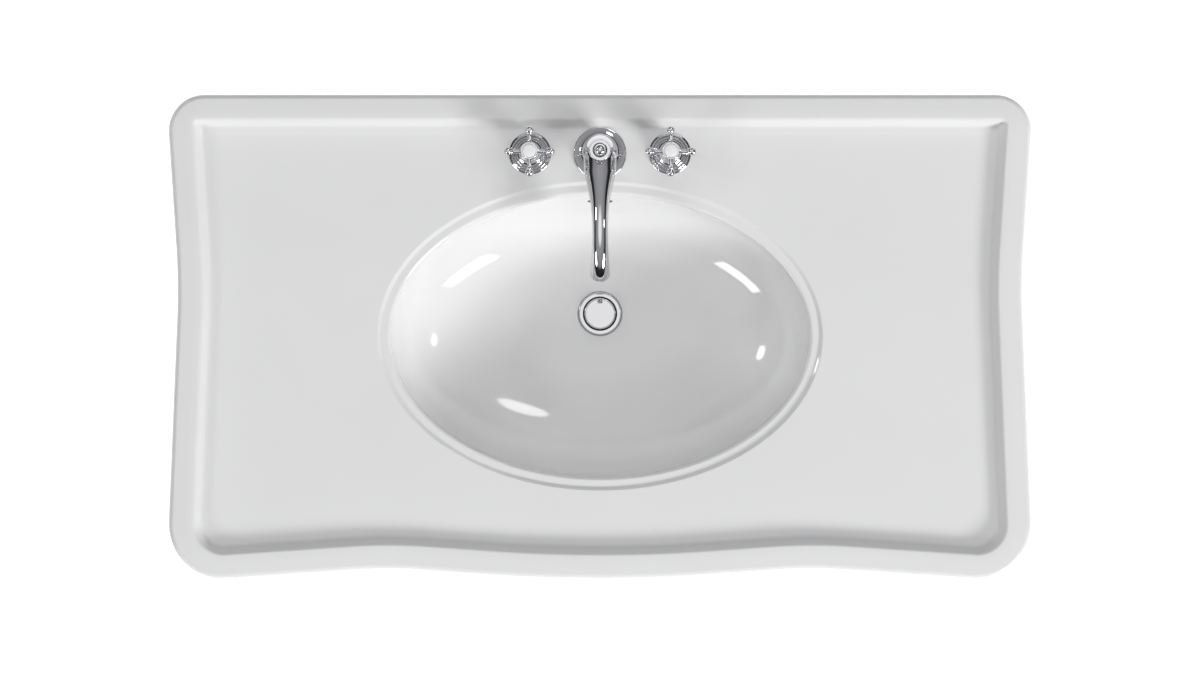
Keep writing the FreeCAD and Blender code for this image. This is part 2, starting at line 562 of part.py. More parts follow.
def stopper():
    """Crowned plug with guide fins and a flat tail with an eye for the pivot rod, standing open."""
    head_z = SEAT_Z + STOPPER_TRAVEL + PLUG_STAND
    crown = [(22.5, 2.6), (21.6, 3.4), (17.0, 4.1), (10.0, 4.6), (0, 4.8)]
    head = turned([(0, 0), (18.0, 0), (22.5, 1.6)] + crown, 0, WASTE_Y, head_z)
    stem = cylinder(3.6, PIVOT_Z + 12, head_z + 1, 0, WASTE_Y)
    fins = [Part.makeBox(34, 1.6, 22, V(-17, WASTE_Y - 0.8, head_z - 21.5)),
            Part.makeBox(1.6, 34, 22, V(-0.8, WASTE_Y - 17, head_z - 21.5))]
    tail = Part.makeBox(14, 3.0, 30, V(-7, WASTE_Y - 1.5, PIVOT_Z - 13))
    body = fused([head, stem, tail] + fins)
    eye = rod(V(0, WASTE_Y - 3, EYE_Z), V(0, WASTE_Y + 3, EYE_Z), PIVOT_ROD_R + 0.9)
    return body.cut(eye).cut(ring(20.5, 17.0, head_z - SEAL_H, head_z, 0, WASTE_Y))


def stopper_seal():
    """Rubber ring that lies under the head, round the fins."""
    head_z = SEAT_Z + STOPPER_TRAVEL + PLUG_STAND
    return turned([(17.0, -SEAL_H), (19.2, -SEAL_H), (20.2, -0.8), (20.2, 0), (17.0, 0)], 0, WASTE_Y, head_z)


def tailpiece():
    return fused([ring(TAIL_R, 14.6, TAIL_END_Z, BODY_END_Z + 12, 0, WASTE_Y),
                  ring(20.6, TAIL_R - 0.5, BODY_END_Z - 5, BODY_END_Z, 0, WASTE_Y)])


def spring_clip():
    """Spring clip that keeps the strap in its place on the pivot rod, tipped with the rod."""
    plates = [Part.makeBox(12.6, 0.6, 8, V(-4, STRAP_Y + step - 0.3, PIVOT_Z - 4)) for step in (-3.2, 3.2)]
    bridge = Part.makeBox(0.6, 7.0, 8, V(8, STRAP_Y - 3.5, PIVOT_Z - 4))
    clip = fused(plates + [bridge])
    clip = clip.cut(rod(V(0, STRAP_Y - 8, PIVOT_Z), V(0, STRAP_Y + 8, PIVOT_Z), PIVOT_ROD_R))
    clip.rotate(V(0, PIVOT_Y, PIVOT_Z), X_AXIS, -PIVOT_TILT)
    return clip


def lift_rod():
    return cylinder(ROD_R, STRAP_HOLE_Z + 34, DECK_Z + 70, 0, SPOUT_Y)


def lift_knob():
    """Ball on a short neck, standing in the collar of the spout."""
    ball_z, ball_r = 76.4, 8.6
    ball = [(r, ball_z + z) for r, z in ball_profile(ball_r, -60)]
    foot_and_neck = [(0, 66.9), (5.6, 66.9), (5.6, 68.0), (3.8, 68.6)]
    knob = turned(foot_and_neck + ball + [(0, ball_z + ball_r)], 0, SPOUT_Y, DECK_Z)
    return knob.cut(cylinder(ROD_R, DECK_Z + 60, DECK_Z + 70, 0, SPOUT_Y))


def clevis_strap():
    """Perforated strip with two lugs on the lift rod.  The pivot rod goes through its lowest hole."""
    front = STRAP_Y - STRAP_T / 2
    pieces = [Part.makeBox(12, STRAP_T, 96, V(-6, front, STRAP_HOLE_Z - 12))]
    for height in (44, 64):
        pieces.append(Part.makeBox(12, STRAP_T + 2 * ROD_R + 2.5, 3, V(-6, front, STRAP_HOLE_Z + height)))
    pieces.append(rod(V(0, front - 4, SCREW_Z), V(0, front + 1, SCREW_Z), 4.5))
    strap = fused(pieces).cut(cylinder(ROD_R, STRAP_HOLE_Z + 34, STRAP_HOLE_Z + 90, 0, SPOUT_Y))
    strap = strap.cut(rod(V(0, front - 5, SCREW_Z), V(0, SPOUT_Y, SCREW_Z), SCREW_R))
    for step in (0, 10, 20):
        height = STRAP_HOLE_Z + step
        strap = strap.cut(rod(V(0, front - 1, height), V(0, STRAP_Y + 2, height), PIVOT_ROD_R + 0.9))
    return strap


def clevis_screw():
    """Thumb screw that grips the lift rod."""
    head_y = STRAP_Y - 9
    head = rod(V(0, head_y - 4, SCREW_Z), V(0, head_y, SCREW_Z), 6.5)
    return fused([rod(V(0, head_y, SCREW_Z), V(0, SPOUT_Y - ROD_R, SCREW_Z), SCREW_R), head])


# ---------------------------------------------------------------- stand
LEG_PLACES = {"front_left": (-LEG_X, LEG_FRONT_Y), "front_right": (LEG_X, LEG_FRONT_Y),
              "back_left": (-LEG_X, LEG_BACK_Y), "back_right": (LEG_X, LEG_BACK_Y)}
STUD_R, PLUG_H = 6.0, 34.0


def bead_rings(z):
    """Three turned rings round a leg: a full one between two slim ones."""
    upper = [(20.6, 3.8), (18.8, 6.8), (17.2, 8.4), (18.4, 9.2), (18.8, 10.8), (18.4, 12.4), (LEG_R, 13)]
    lower = [(r, -height) for r, height in reversed(upper)]
    return [(r, z + height) for r, height in lower + [(21.2, 0)] + upper]


def leg(x, y):
    """Turned tube, closed at the top where the corner plate is screwed on."""
    top = PLATE_Z
    ankle = [(LEG_R, 0), (18.2, 4), (18.6, 10), (18.2, 16), (LEG_R, 20)]
    necking = [(LEG_R, 30), (18.6, 28.6), (19.2, 26.5), (18.6, 24.4), (17.0, 23.0)]
    capital = [(17.6, 16), (20.4, 8), (25.0, 4), (25.0, 0), (0, 0)]
    profile = [(0, LEG_FOOT_Z)] + [(r, LEG_FOOT_Z + height) for r, height in ankle]
    profile += bead_rings(LOWER_Z - 62) + bead_rings(LOWER_Z + 62) + bead_rings(UPPER_Z - 62)
    profile += [(r, top - drop) for r, drop in necking + capital]
    tube = turned(profile, x, y)
    tube = tube.cut(cylinder(LEG_BORE_R, LEG_FOOT_Z - 1, top - 26, x, y))
    return tube.cut(cylinder(4.0, top - 20, top + 1, x, y))


def leg_plug(x, y):
    """Tapped plug in the bottom of the tube."""
    return ring(LEG_BORE_R, STUD_R + 0.05, LEG_FOOT_Z, LEG_FOOT_Z + PLUG_H, x, y)


def foot(x, y):
    """Bell-shaped levelling foot on its stud, screwed right home."""
    skirt = [(0, 0), (23.0, 0), (24.0, 1.2), (24.0, 4.0), (23.0, 5.6), (20.0, 6.4), (17.0, 9.0),
             (14.6, 13.0)]
    neck = [(13.6, 17.0), (15.2, 18.6), (15.6, 20.6), (15.2, 22.6), (13.6, 24.0), (13.6, LEG_FOOT_Z),
            (0, LEG_FOOT_Z)]
    bell = turned(skirt + neck, x, y)
    return fused([bell, cylinder(STUD_R, LEG_FOOT_Z - 1, LEG_FOOT_Z + PLUG_H - 3, x, y)])


def corner_plate(x, y):
    plate = cylinder(PLATE_R, PLATE_Z, PLATE_Z + PLATE_T, x, y)
    plate = plate.makeFillet(1.5, edges_at(plate, PLATE_Z, LEG_X + PLATE_R + 1))
    countersink = [(0, -1), (4.0, -1), (4.0, 1.8), (8.0, PLATE_T), (8.0, PLATE_T + 1), (0, PLATE_T + 1)]
    return plate.cut(turned(countersink, x, y, PLATE_Z))


def plate_screw(x, y):
    """Countersunk screw, its head flush in the plate."""
    profile = [(0, -18), (4.0, -18), (4.0, 1.8), (8.0, PLATE_T), (2.6, PLATE_T), (2.6, 3.4), (0, 3.4)]
    return turned(profile, x, y, PLATE_Z)


def bearing_pad(x, y):
    """Rubber strip on the corner plate, where the foot of the apron stands on it."""
    wall = slab(APRON_INSET + 5.5, APRON_Z - PAD_T, APRON_Z, APRON_INSET)
    wall = wall.cut(slab(APRON_INSET + CERAMIC, APRON_Z - PAD_T - 1, APRON_Z + 1, APRON_INSET))
    return wall.common(cylinder(PLATE_R - 1.5, APRON_Z - PAD_T, APRON_Z, x, y))


def joint_ball(x, y, z, headings, bored):
    """Ball fitting with a socket for each rail, slipped over a leg where bored."""
    middle = V(x, y, z)
    sphere = Part.makeSphere(BALL_R if bored else BALL_R - 5, middle)
    sphere.rotate(middle, Z_AXIS, 45)
    sockets = [rod(middle + heading * SOCKET_ROOT, middle + heading * SOCKET_REACH, SOCKET_R)
               for heading in headings]
    solids = [sphere] + sockets
    ball = fused(solids)
    if bored:
        ball = ball.fuse(ring(19.5, LEG_R, z - BALL_R - 2, z + BALL_R + 2, x, y)).removeSplitter()
        ball = ball.cut(cylinder(LEG_R, z - BALL_R - 3, z + BALL_R + 3, x, y))
    for heading in headings:
        plug_end = middle + heading * (SOCKET_REACH - RAIL_PLUG)
        ball = ball.cut(rod(plug_end, plug_end + heading * (RAIL_PLUG + 1), RAIL_R))
    return ball


def rail(start, end):
    """Tube between two ball fittings, its ends plugged into their sockets."""
    way = (end - start).normalize()
    inset = way * (SOCKET_REACH - RAIL_PLUG)
    return pipe(start + inset, end - inset, RAIL_R, RAIL_BORE_R)


def upper_joints():
    balls = []
    for x, y in LEG_PLACES.values():
        inward = V(-math.copysign(1, x), 0, 0)
        along = V(0, -math.copysign(1, y), 0)
        balls.append(joint_ball(x, y, UPPER_Z, [inward, along], True))
    return balls


def lower_joints():
    corners = [joint_ball(x, y, LOWER_Z, [V(0, -math.copysign(1, y), 0)], True)
               for x, y in LEG_PLACES.values()]
    middles = [joint_ball(side * LEG_X, CROSS_Y, LOWER_Z, [Y_AXIS, -Y_AXIS, V(-side, 0, 0)], False)
               for side in (-1, 1)]
    return corners + middles


def lower_side_rails(side):
    x, z = side * LEG_X, LOWER_Z
    middle = V(x, CROSS_Y, z)
    return [rail(V(x, LEG_FRONT_Y, z), middle), rail(middle, V(x, LEG_BACK_Y, z))]


def stretcher_boss():
    """Turned ball in the middle of the cross rail."""
    half = [(17.0, 10.4), (13.6, 17.0), (10.6, 21.0), (11.4, 21.8), (12.0, 23.4), (11.4, 25), (RAIL_R, 26)]
    profile = [(r, -reach) for r, reach in reversed(half)] + [(18.4, 0)] + half
    return lying(turned(profile), V(0, CROSS_Y, LOWER_Z), X_AXIS)


# ---------------------------------------------------------------- write every node
def write_tap_set():
    for side, name in ((-1, "hot"), (1, "cold")):
        x = side * VALVE_X
        save(name + "_escutcheon", escutcheon(x))
        save(name + "_valve_body", valve_body(side))
        save(name + "_cartridge", cartridge(x))
        save(name + "_moving_disc", port_disc(CARTRIDGE_Z + DISC_T + 0.05, CHAMBER_R - 0.3, x, True))
        save(name + "_spindle", spindle(x))
        save(name + "_handle", handle(x))
        save(name + "_handle_screw", handle_screw(x))
        save(name + "_index", index_button(x))
    save("fixed_discs", *[port_disc(CARTRIDGE_Z, CHAMBER_R, x, False) for x in (-VALVE_X, VALVE_X)])
    save("cross_tubes", cross_tube(-1), cross_tube(1))
    save("tube_nuts", *tube_nuts())
    places = ((-VALVE_X, VALVE_Y, VALVE_SHANK_R), (VALVE_X, VALVE_Y, VALVE_SHANK_R), (0, SPOUT_Y, SHANK_R))
    save("deck_washers", *[ring(24.0, r, WASHER_Z, DECK_UNDER_Z, x, y) for x, y, r in places])
    save("deck_locknuts", *[hexagon(40, LOCKNUT_Z, WASHER_Z, r, x, y) for x, y, r in places])
    save("spout_body", spout_body())
    save("spout_shank", spout_shank())
    save("spout_tee", spout_tee())
    save("spout_aerator", aerator())


def write_waste():
    save("waste_body", waste_body())
    save("waste_gasket", ring(34.0, BODY_R, UNDER_BOSS_Z - 5, UNDER_BOSS_Z, 0, WASTE_Y))
    save("waste_locknut", hexagon(58, UNDER_BOSS_Z - 15, UNDER_BOSS_Z - 5, BODY_R, 0, WASTE_Y))
    save("waste_tailpiece", tailpiece())
    save("waste_stopper", stopper())
    save("stopper_seal", stopper_seal())
    save("pivot_nut", pivot_nut())
    save("pivot_rod", pivot_rod())
    save("lift_rod", lift_rod())
    save("lift_knob", lift_knob())
    save("clevis_strap", clevis_strap())
    save("clevis_screw", clevis_screw())
    save("spring_clip", spring_clip())
    print("lift %.3f mm, stopper travel %.3f mm" % (LIFT, STOPPER_TRAVEL))


def write_stand():
    for name, (x, y) in LEG_PLACES.items():
        save(name + "_leg", leg(x, y))
        save(name + "_foot", foot(x, y))
    places = list(LEG_PLACES.values())
    save("leg_plugs", *[leg_plug(x, y) for x, y in places])
    save("corner_plates", *[corner_plate(x, y) for x, y in places])
    save("plate_screws", *[plate_screw(x, y) for x, y in places])
    save("bearing_pads", *[bearing_pad(x, y) for x, y in places])
    save("upper_joints", *upper_joints())
    save("lower_joints", *lower_joints())
    save("front_towel_rail", rail(V(-LEG_X, LEG_FRONT_Y, UPPER_Z), V(LEG_X, LEG_FRONT_Y, UPPER_Z)))
    save("back_rail", rail(V(-LEG_X, LEG_BACK_Y, UPPER_Z), V(LEG_X, LEG_BACK_Y, UPPER_Z)))
    sides = [rail(V(x, LEG_FRONT_Y, UPPER_Z), V(x, LEG_BACK_Y, UPPER_Z)) for x in (-LEG_X, LEG_X)]
    save("side_towel_rails", *sides)
    save("lower_side_rails", *(lower_side_rails(-1) + lower_side_rails(1)))
    save("cross_rail", rail(V(-LEG_X, CROSS_Y, LOWER_Z), V(LEG_X, CROSS_Y, LOWER_Z)))
    save("cross_rail_boss", stretcher_boss())


os.makedirs("parts", exist_ok=True)
save("basin", *basin_sections(basin()))
write_tap_set()
write_waste()
write_stand()
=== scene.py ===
import json
import math

import bmesh
import bpy
from mathutils import Matrix, Vector


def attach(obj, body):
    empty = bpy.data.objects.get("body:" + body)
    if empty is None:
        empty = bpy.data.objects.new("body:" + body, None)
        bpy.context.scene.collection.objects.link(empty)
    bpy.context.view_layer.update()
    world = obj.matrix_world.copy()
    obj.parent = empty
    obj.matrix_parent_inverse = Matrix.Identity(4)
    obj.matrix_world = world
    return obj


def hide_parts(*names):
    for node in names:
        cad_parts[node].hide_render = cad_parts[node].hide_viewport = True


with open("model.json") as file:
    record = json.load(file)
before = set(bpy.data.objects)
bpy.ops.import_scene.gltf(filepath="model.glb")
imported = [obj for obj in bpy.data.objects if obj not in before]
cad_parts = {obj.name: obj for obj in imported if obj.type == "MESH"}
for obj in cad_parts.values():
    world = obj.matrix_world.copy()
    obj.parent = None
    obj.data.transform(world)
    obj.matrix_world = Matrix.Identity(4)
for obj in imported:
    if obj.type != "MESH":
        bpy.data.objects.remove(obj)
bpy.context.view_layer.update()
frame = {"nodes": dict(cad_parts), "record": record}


# ---------------------------------------------------------------- studio
# A plain white paper floor in a grey studio with a bright ceiling and a dark skirting, a large soft box to the
# right of the user, a paler one to the left and three small ones further round.  The camera hangs four metres
# over the rim and looks straight down, with the wall side of the basin at the top of the picture.

def linear(hex_colour):
    """An sRGB hex colour as linear RGBA."""
    channels = [int(hex_colour[k:k + 2], 16) / 255 for k in (0, 2, 4)]
    return [c / 12.92 if c <= 0.04045 else ((c + 0.055) / 1.055) ** 2.4 for c in channels] + [1.0]


def node(tree, kind, settings=None, **links):
    """Adds a node, sets its properties, and fills its inputs with values or with another node's output."""
    made = tree.nodes.new(kind)
    for name, value in (settings or {}).items():
        setattr(made, name, value)
    for name, value in links.items():
        wanted = name.replace("_", " ").lower()
        index = int(name[5:]) if name[:5] == "input" else next(
            k for k, socket in enumerate(made.inputs) if socket.name.lower() == wanted)
        if isinstance(value, bpy.types.NodeSocket):
            tree.links.new(value, made.inputs[index])
        else:
            made.inputs[index].default_value = value
    return made


def mesh_object(name, vertices, faces, smooth_angle=None):
    """A mesh object at the origin, its faces turned outwards.  Edges sharper than the angle stay crisp."""
    mesh = bpy.data.meshes.new(name)
    mesh.from_pydata(vertices, [], faces)
    shaped = bmesh.new()
    shaped.from_mesh(mesh)
    bmesh.ops.remove_doubles(shaped, verts=shaped.verts, dist=1e-6)
    bmesh.ops.recalc_face_normals(shaped, faces=shaped.faces)
    shaped.to_mesh(mesh)
    shaped.free()
    if smooth_angle is not None:
        mesh.shade_smooth()
        mesh.set_sharp_from_angle(angle=math.radians(smooth_angle))
    made = bpy.data.objects.new(name, mesh)
    bpy.context.scene.collection.objects.link(made)
    return made


paper = bpy.data.materials.new("studio_paper")
paper.use_nodes = True
tree = paper.node_tree
tree.nodes.clear()
ray = node(tree, "ShaderNodeLightPath")
seen = node(tree, "ShaderNodeMath", {"operation": "MAXIMUM"}, input0=ray.outputs["Is Camera Ray"],
            input1=ray.outputs["Is Glossy Ray"])
seen = node(tree, "ShaderNodeMath", {"operation": "MAXIMUM"}, input0=seen.outputs[0],
            input1=ray.outputs["Is Transmission Ray"])
PAPER_GLOW = 0.55                                       # its own even glow, for the camera and mirrors alone
glow_level = node(tree, "ShaderNodeMath", {"operation": "MULTIPLY"}, input0=seen.outputs[0], input1=PAPER_GLOW)
glow = node(tree, "ShaderNodeEmission", Color=linear("FFFFFF"), Strength=glow_level.outputs[0])
matt = node(tree, "ShaderNodeBsdfDiffuse", Color=linear("F4F4F4"))
both = node(tree, "ShaderNodeAddShader", input0=glow.outputs[0], input1=matt.outputs[0])
node(tree, "ShaderNodeOutputMaterial", Surface=both.outputs[0])

FLOOR_HALF = 30.0
floor = mesh_object("paper_floor", [(-FLOOR_HALF, -FLOOR_HALF, 0), (FLOOR_HALF, -FLOOR_HALF, 0),
                                    (FLOOR_HALF, FLOOR_HALF, 0), (-FLOOR_HALF, FLOOR_HALF, 0)], [(0, 1, 2, 3)])
floor.data.materials.append(paper)

world = bpy.data.worlds.new("studio")
bpy.context.scene.world = world
world.use_nodes = True
tree = world.node_tree
tree.nodes.clear()
place = node(tree, "ShaderNodeTexCoord")
height = node(tree, "ShaderNodeSeparateXYZ", Vector=place.outputs["Generated"])
walls = node(tree, "ShaderNodeValToRGB", Fac=height.outputs["Z"])
ramp = walls.color_ramp
ramp.elements.remove(ramp.elements[-1])
# Tones of the room by height on a unit sphere, from the skirting up to the ceiling.
WALL_TONES = ((0.0, "1E1E1E"), (0.36, "262627"), (0.49, "78787A"), (0.62, "7F7F81"), (0.88, "8F9092"),
              (0.955, "DEDEDF"))
for position, colour in WALL_TONES:
    stop = ramp.elements[0] if position == 0.0 else ramp.elements.new(position)
    stop.position, stop.color = position, linear(colour)
sky = node(tree, "ShaderNodeBackground", Color=walls.outputs["Color"], Strength=1.5)
node(tree, "ShaderNodeOutputWorld", Surface=sky.outputs[0])


LAMP_AIM, LAMP_DISTANCE = Vector((0, 0, 0.86)), 12.0


def soft_box(name, shape, azimuth, elevation, width, height, watts):
    """A soft box that faces the middle of the basin.  Azimuth 0 is the user's side, 90 the right."""
    lamp = bpy.data.lights.new(name, "AREA")
    lamp.shape, lamp.size, lamp.size_y, lamp.energy = shape, width, height, watts
    level = LAMP_DISTANCE * math.cos(math.radians(elevation))
    away = Vector((level * math.sin(math.radians(azimuth)), -level * math.cos(math.radians(azimuth)),
                   LAMP_DISTANCE * math.sin(math.radians(elevation))))
    hung = bpy.data.objects.new(name, lamp)
    hung.location = LAMP_AIM + away
    hung.rotation_euler = away.to_track_quat("Z", "Y").to_euler()
    bpy.context.scene.collection.objects.link(hung)


soft_box("key_front_right", "RECTANGLE", 45, 20, 4.4, 2.20, 1070)
soft_box("fill_front_left", "RECTANGLE", -50, 21, 4.4, 1.90, 310)
soft_box("back_right", "ELLIPSE", 156, 38, 3.00, 1.80, 120)
soft_box("side_left", "ELLIPSE", -107, 31, 1.90, 1.20, 85)
soft_box("side_right", "ELLIPSE", 97, 29, 1.80, 1.20, 45)

camera = bpy.data.cameras.new("overhead")
camera.lens, camera.sensor_width, camera.clip_end = 85.04, 36.0, 60.0
shot = bpy.data.objects.new("overhead", camera)
shot.location = (0.0, -0.0009, 4.88)
bpy.context.scene.collection.objects.link(shot)
bpy.context.scene.camera = shot
bpy.context.scene.view_settings.view_transform = "Standard"


# ---------------------------------------------------------------- basin
# One fireclay casting, slip cast and fired under a thick opaque white glaze: a tray with a waved, bullnosed
# rim, an oval bowl with a narrow sunk ledge round its mouth, and an apron underneath that is flush with the
# back.  It stands on rubber pads and is bolted back to the wall.
HALF_WIDTH, HALF_DEPTH = 0.6099, 0.3424
RIM_TOP, RIM_THICK, RIM_INSET, BULLNOSE, CROWN = 0.880, 0.034, 0.0405, 0.012, 0.0014
DECK, WALL = 0.865, 0.014
APRON_INSET, APRON_FOOT = 0.014, 0.795
LEDGE, BOWL_DEPTH, BOSS = 0.862, 0.132, 0.017
LEDGE_TOP, LEDGE_WIDTH = (0.3155, 0.2190), 0.0183
BOWL_Y, WASTE_Y = 0.0015, 0.034
WAIST_IN, WAIST_Y, DIP_IN, DIP_X = 0.0128, 0.065, 0.0137, 0.300
RIM_CIRCLES = {"back": 0.051, "waist": 0.900, "front": 0.078, "dip": 0.740, "belly": 2.200}
TRAY_CORNER = 0.0435                                    # the tray's back corners, as they would be at the rim
BLEND_FROM, BLEND_RUN = 0.013, 0.020                    # inset where the corners change, and over what run
LEAST_CORNER = 0.0015                                   # the tightest that a ring's back corners may be
TRAY_WALL_HALF = 0.0048                                 # half the run of the tray's sloped wall, from above
WASTE_HOLE, WASTE_REBATE, FLOOR_END, BOSS_END = 0.023, 0.033, 0.0345, 0.047     # radii about the waste
REBATE_DEPTH = 0.003
UNDER_RUN = 0.010                                       # flat of the deck's underside by the apron and the bowl
RIM_STEPS = (46, 16, 14, 26, 14, 20, 12, 28, 8, 22)     # mesh steps along each piece of half the outline


def rim_ring(inset, height, back_shift=0.0, back=RIM_CIRCLES["back"]):
    """A closed ring of points that follows the rim's outline, moved inwards by an even distance.

    The outline is circles joined by the lines that touch them.  A hollow circle has a negative radius.
    """
    waist, front, dip, belly = (RIM_CIRCLES[name] for name in ("waist", "front", "dip", "belly"))
    circles = ((HALF_WIDTH - back, HALF_DEPTH - back + back_shift, back - inset),
               (HALF_WIDTH - WAIST_IN + waist, WAIST_Y, -waist - inset),
               (HALF_WIDTH - front, front - HALF_DEPTH, front - inset),
               (DIP_X, DIP_IN - HALF_DEPTH - dip, -dip - inset),
               (0.0, belly - HALF_DEPTH, belly - inset))
    normals = [math.pi / 2]
    for (x0, y0, r0), (x1, y1, r1) in zip(circles, circles[1:]):
        normal = math.atan2(y1 - y0, x1 - x0) + math.acos((r0 - r1) / math.hypot(x1 - x0, y1 - y0))
        normals.append(normal if normal < math.pi else normal - 2 * math.pi)
    normals.append(-math.pi / 2)

    half = [(0.0, circles[0][1] + circles[0][2])]
    for (x, y, r), enter, leave, line_steps, arc_steps in zip(circles, normals, normals[1:], RIM_STEPS[::2],
                                                              RIM_STEPS[1::2]):
        arc = [enter + (leave - enter) * k / arc_steps for k in range(arc_steps + 1)]
        arc = [(x + r * math.cos(a), y + r * math.sin(a)) for a in arc]
        (x0, y0), (x1, y1) = half[-1], arc[0]
        half += [(x0 + (x1 - x0) * k / line_steps, y0 + (y1 - y0) * k / line_steps)
                 for k in range(1, line_steps)] + arc
    ring = half + [(-x, y) for x, y in half[-2:0:-1]]
    return [(x, y, height) for x, y in ring]


def oval_ring(half_x, half_y, middle_y, height):
    """A ring of as many points round an ellipse, started and turned as the rim's is."""
    count = 2 * sum(RIM_STEPS)
    turns = [math.pi / 2 - 2 * math.pi * k / count for k in range(count)]
    return [(half_x * math.cos(t), middle_y + half_y * math.sin(t), height) for t in turns]


def rounded(corners, step=15.0, guard=0.0012):
    """A section line with its corners rounded.

    Each corner is (across, height, radius).  Short runs beside each arc keep the shading of the flats flat.
    """
    line = [Vector(corners[0][:2])]
    for before, (x, y, radius), after in zip(corners, corners[1:], corners[2:]):
        corner = Vector((x, y))
        back, ahead = Vector(before[:2]) - corner, Vector(after[:2]) - corner
        if radius <= 0 or back.length == 0 or ahead.length == 0:
            line.append(corner)
            continue
        turn = math.pi - back.angle(ahead)
        reach = min(radius * math.tan(turn / 2), 0.49 * back.length, 0.49 * ahead.length)
        radius = reach / math.tan(turn / 2)
        start, end = corner + back.normalized() * reach, corner + ahead.normalized() * reach
        middle = corner + (back.normalized() + ahead.normalized()).normalized() * math.hypot(radius, reach)
        count = max(2, math.ceil(math.degrees(turn) / step))
        if back.length > reach + 2 * guard:
            line.append(start + back.normalized() * guard)
        first, sweep = (start - middle), (start - middle).angle_signed(end - middle)
        for k in range(count + 1):
            line.append(middle + Matrix.Rotation(-sweep * k / count, 2) @ first)
        if ahead.length > reach + 2 * guard:
            line.append(end + ahead.normalized() * guard)
    line.append(Vector(corners[-1][:2]))
    return [tuple(point) for point in line]


def skinned(name, rings, closed=False, smooth_angle=40):
    """A mesh through rings of equally many points.  Unless closed, an end ring of one point is a pole."""
    vertices, starts, faces = [], [], []
    for ring in rings:
        starts.append(len(vertices))
        vertices += ring
    pairs = list(zip(range(len(rings)), range(1, len(rings))))
    if closed:
        pairs.append((len(rings) - 1, 0))
    for low, high in pairs:
        count = max(len(rings[low]), len(rings[high]))
        for k in range(count):
            corners = [starts[low] + k % len(rings[low]), starts[low] + (k + 1) % len(rings[low]),
                       starts[high] + (k + 1) % len(rings[high]), starts[high] + k % len(rings[high])]
            faces.append(tuple(dict.fromkeys(corners)))
    return mesh_object(name, vertices, faces, smooth_angle)


def bowl_rings(mouth, end, depth, first, count):
    """The bowl, inside or out: steep wall rounds into floor, and its middle moves to the waste."""
    rings = []
    for k in range(count + 1):
        turn = first + (math.pi / 2 - first) * k / count
        width, fall = math.cos(turn), math.sin(turn)
        rings.append(oval_ring(end + (mouth[0] - end) * width, end + (mouth[1] - end) * width,
                               WASTE_Y + (BOWL_Y - WASTE_Y) * width, LEDGE - depth * fall))
    return rings


deck_to_rim = rounded([(0.0680, DECK, 0), (0.0560, DECK, 0.05),
                       (RIM_INSET + TRAY_WALL_HALF, DECK + 0.0010, 0.008),
                       (RIM_INSET - TRAY_WALL_HALF, RIM_TOP, 0.006), (0.0250, RIM_TOP, 0.10),
                       (0, RIM_TOP - CROWN, BULLNOSE), (0, RIM_TOP - RIM_THICK / 2, 0)], 10, 0.0005)
rim_to_deck = rounded([(0, RIM_TOP - RIM_THICK / 2, 0), (0, RIM_TOP - RIM_THICK, BULLNOSE),
                       (APRON_INSET, RIM_TOP - RIM_THICK, 0.002), (APRON_INSET, APRON_FOOT, 0.005),
                       (APRON_INSET + WALL, APRON_FOOT, 0.003), (APRON_INSET + WALL, DECK - WALL, 0.004),
                       (APRON_INSET + WALL + UNDER_RUN, DECK - WALL, 0)])
step_down = rounded([(-0.006, DECK, 0), (0, DECK, 0.003), (0.005, LEDGE, 0.003), (LEDGE_WIDTH, LEDGE, 0.006),
                     (LEDGE_WIDTH, LEDGE - 0.010, 0)], guard=0.0005)[:-1]
mouth = (LEDGE_TOP[0] - LEDGE_WIDTH, LEDGE_TOP[1] - LEDGE_WIDTH)
outside_mouth = (mouth[0] + WALL, mouth[1] + WALL)
floor_z, boss_z = LEDGE - BOWL_DEPTH, LEDGE - BOWL_DEPTH - BOSS

rings = [oval_ring(radius, radius, WASTE_Y, floor_z - sunk)
         for radius, sunk in ((WASTE_HOLE, REBATE_DEPTH), (WASTE_REBATE, REBATE_DEPTH), (WASTE_REBATE, 0))]
rings += reversed(bowl_rings(mouth, FLOOR_END, BOWL_DEPTH, 0.10, 40))
rings += [oval_ring(LEDGE_TOP[0] - across, LEDGE_TOP[1] - across, BOWL_Y, z)
          for across, z in reversed(step_down)]
for inset, z in deck_to_rim:
    tight = min(max((inset - BLEND_FROM) / BLEND_RUN, 0.0), 1.0)
    corner = RIM_CIRCLES["back"] + (TRAY_CORNER - RIM_CIRCLES["back"]) * tight
    rings.append(rim_ring(inset, z, back=max(corner, inset + LEAST_CORNER)))
rings += [rim_ring(inset, z, min(inset, APRON_INSET)) for inset, z in rim_to_deck[1:]]
rings += [oval_ring(outside_mouth[0] + UNDER_RUN, outside_mouth[1] + UNDER_RUN, BOWL_Y, DECK - WALL)]
rings += bowl_rings(outside_mouth, BOSS_END, BOWL_DEPTH + BOSS, 0.15, 24)
rings += [oval_ring(WASTE_HOLE, WASTE_HOLE, WASTE_Y, boss_z)]
basin = skinned("basin_casting", rings, closed=True, smooth_angle=50)
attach(basin, "basin_and_stand")
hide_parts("basin")

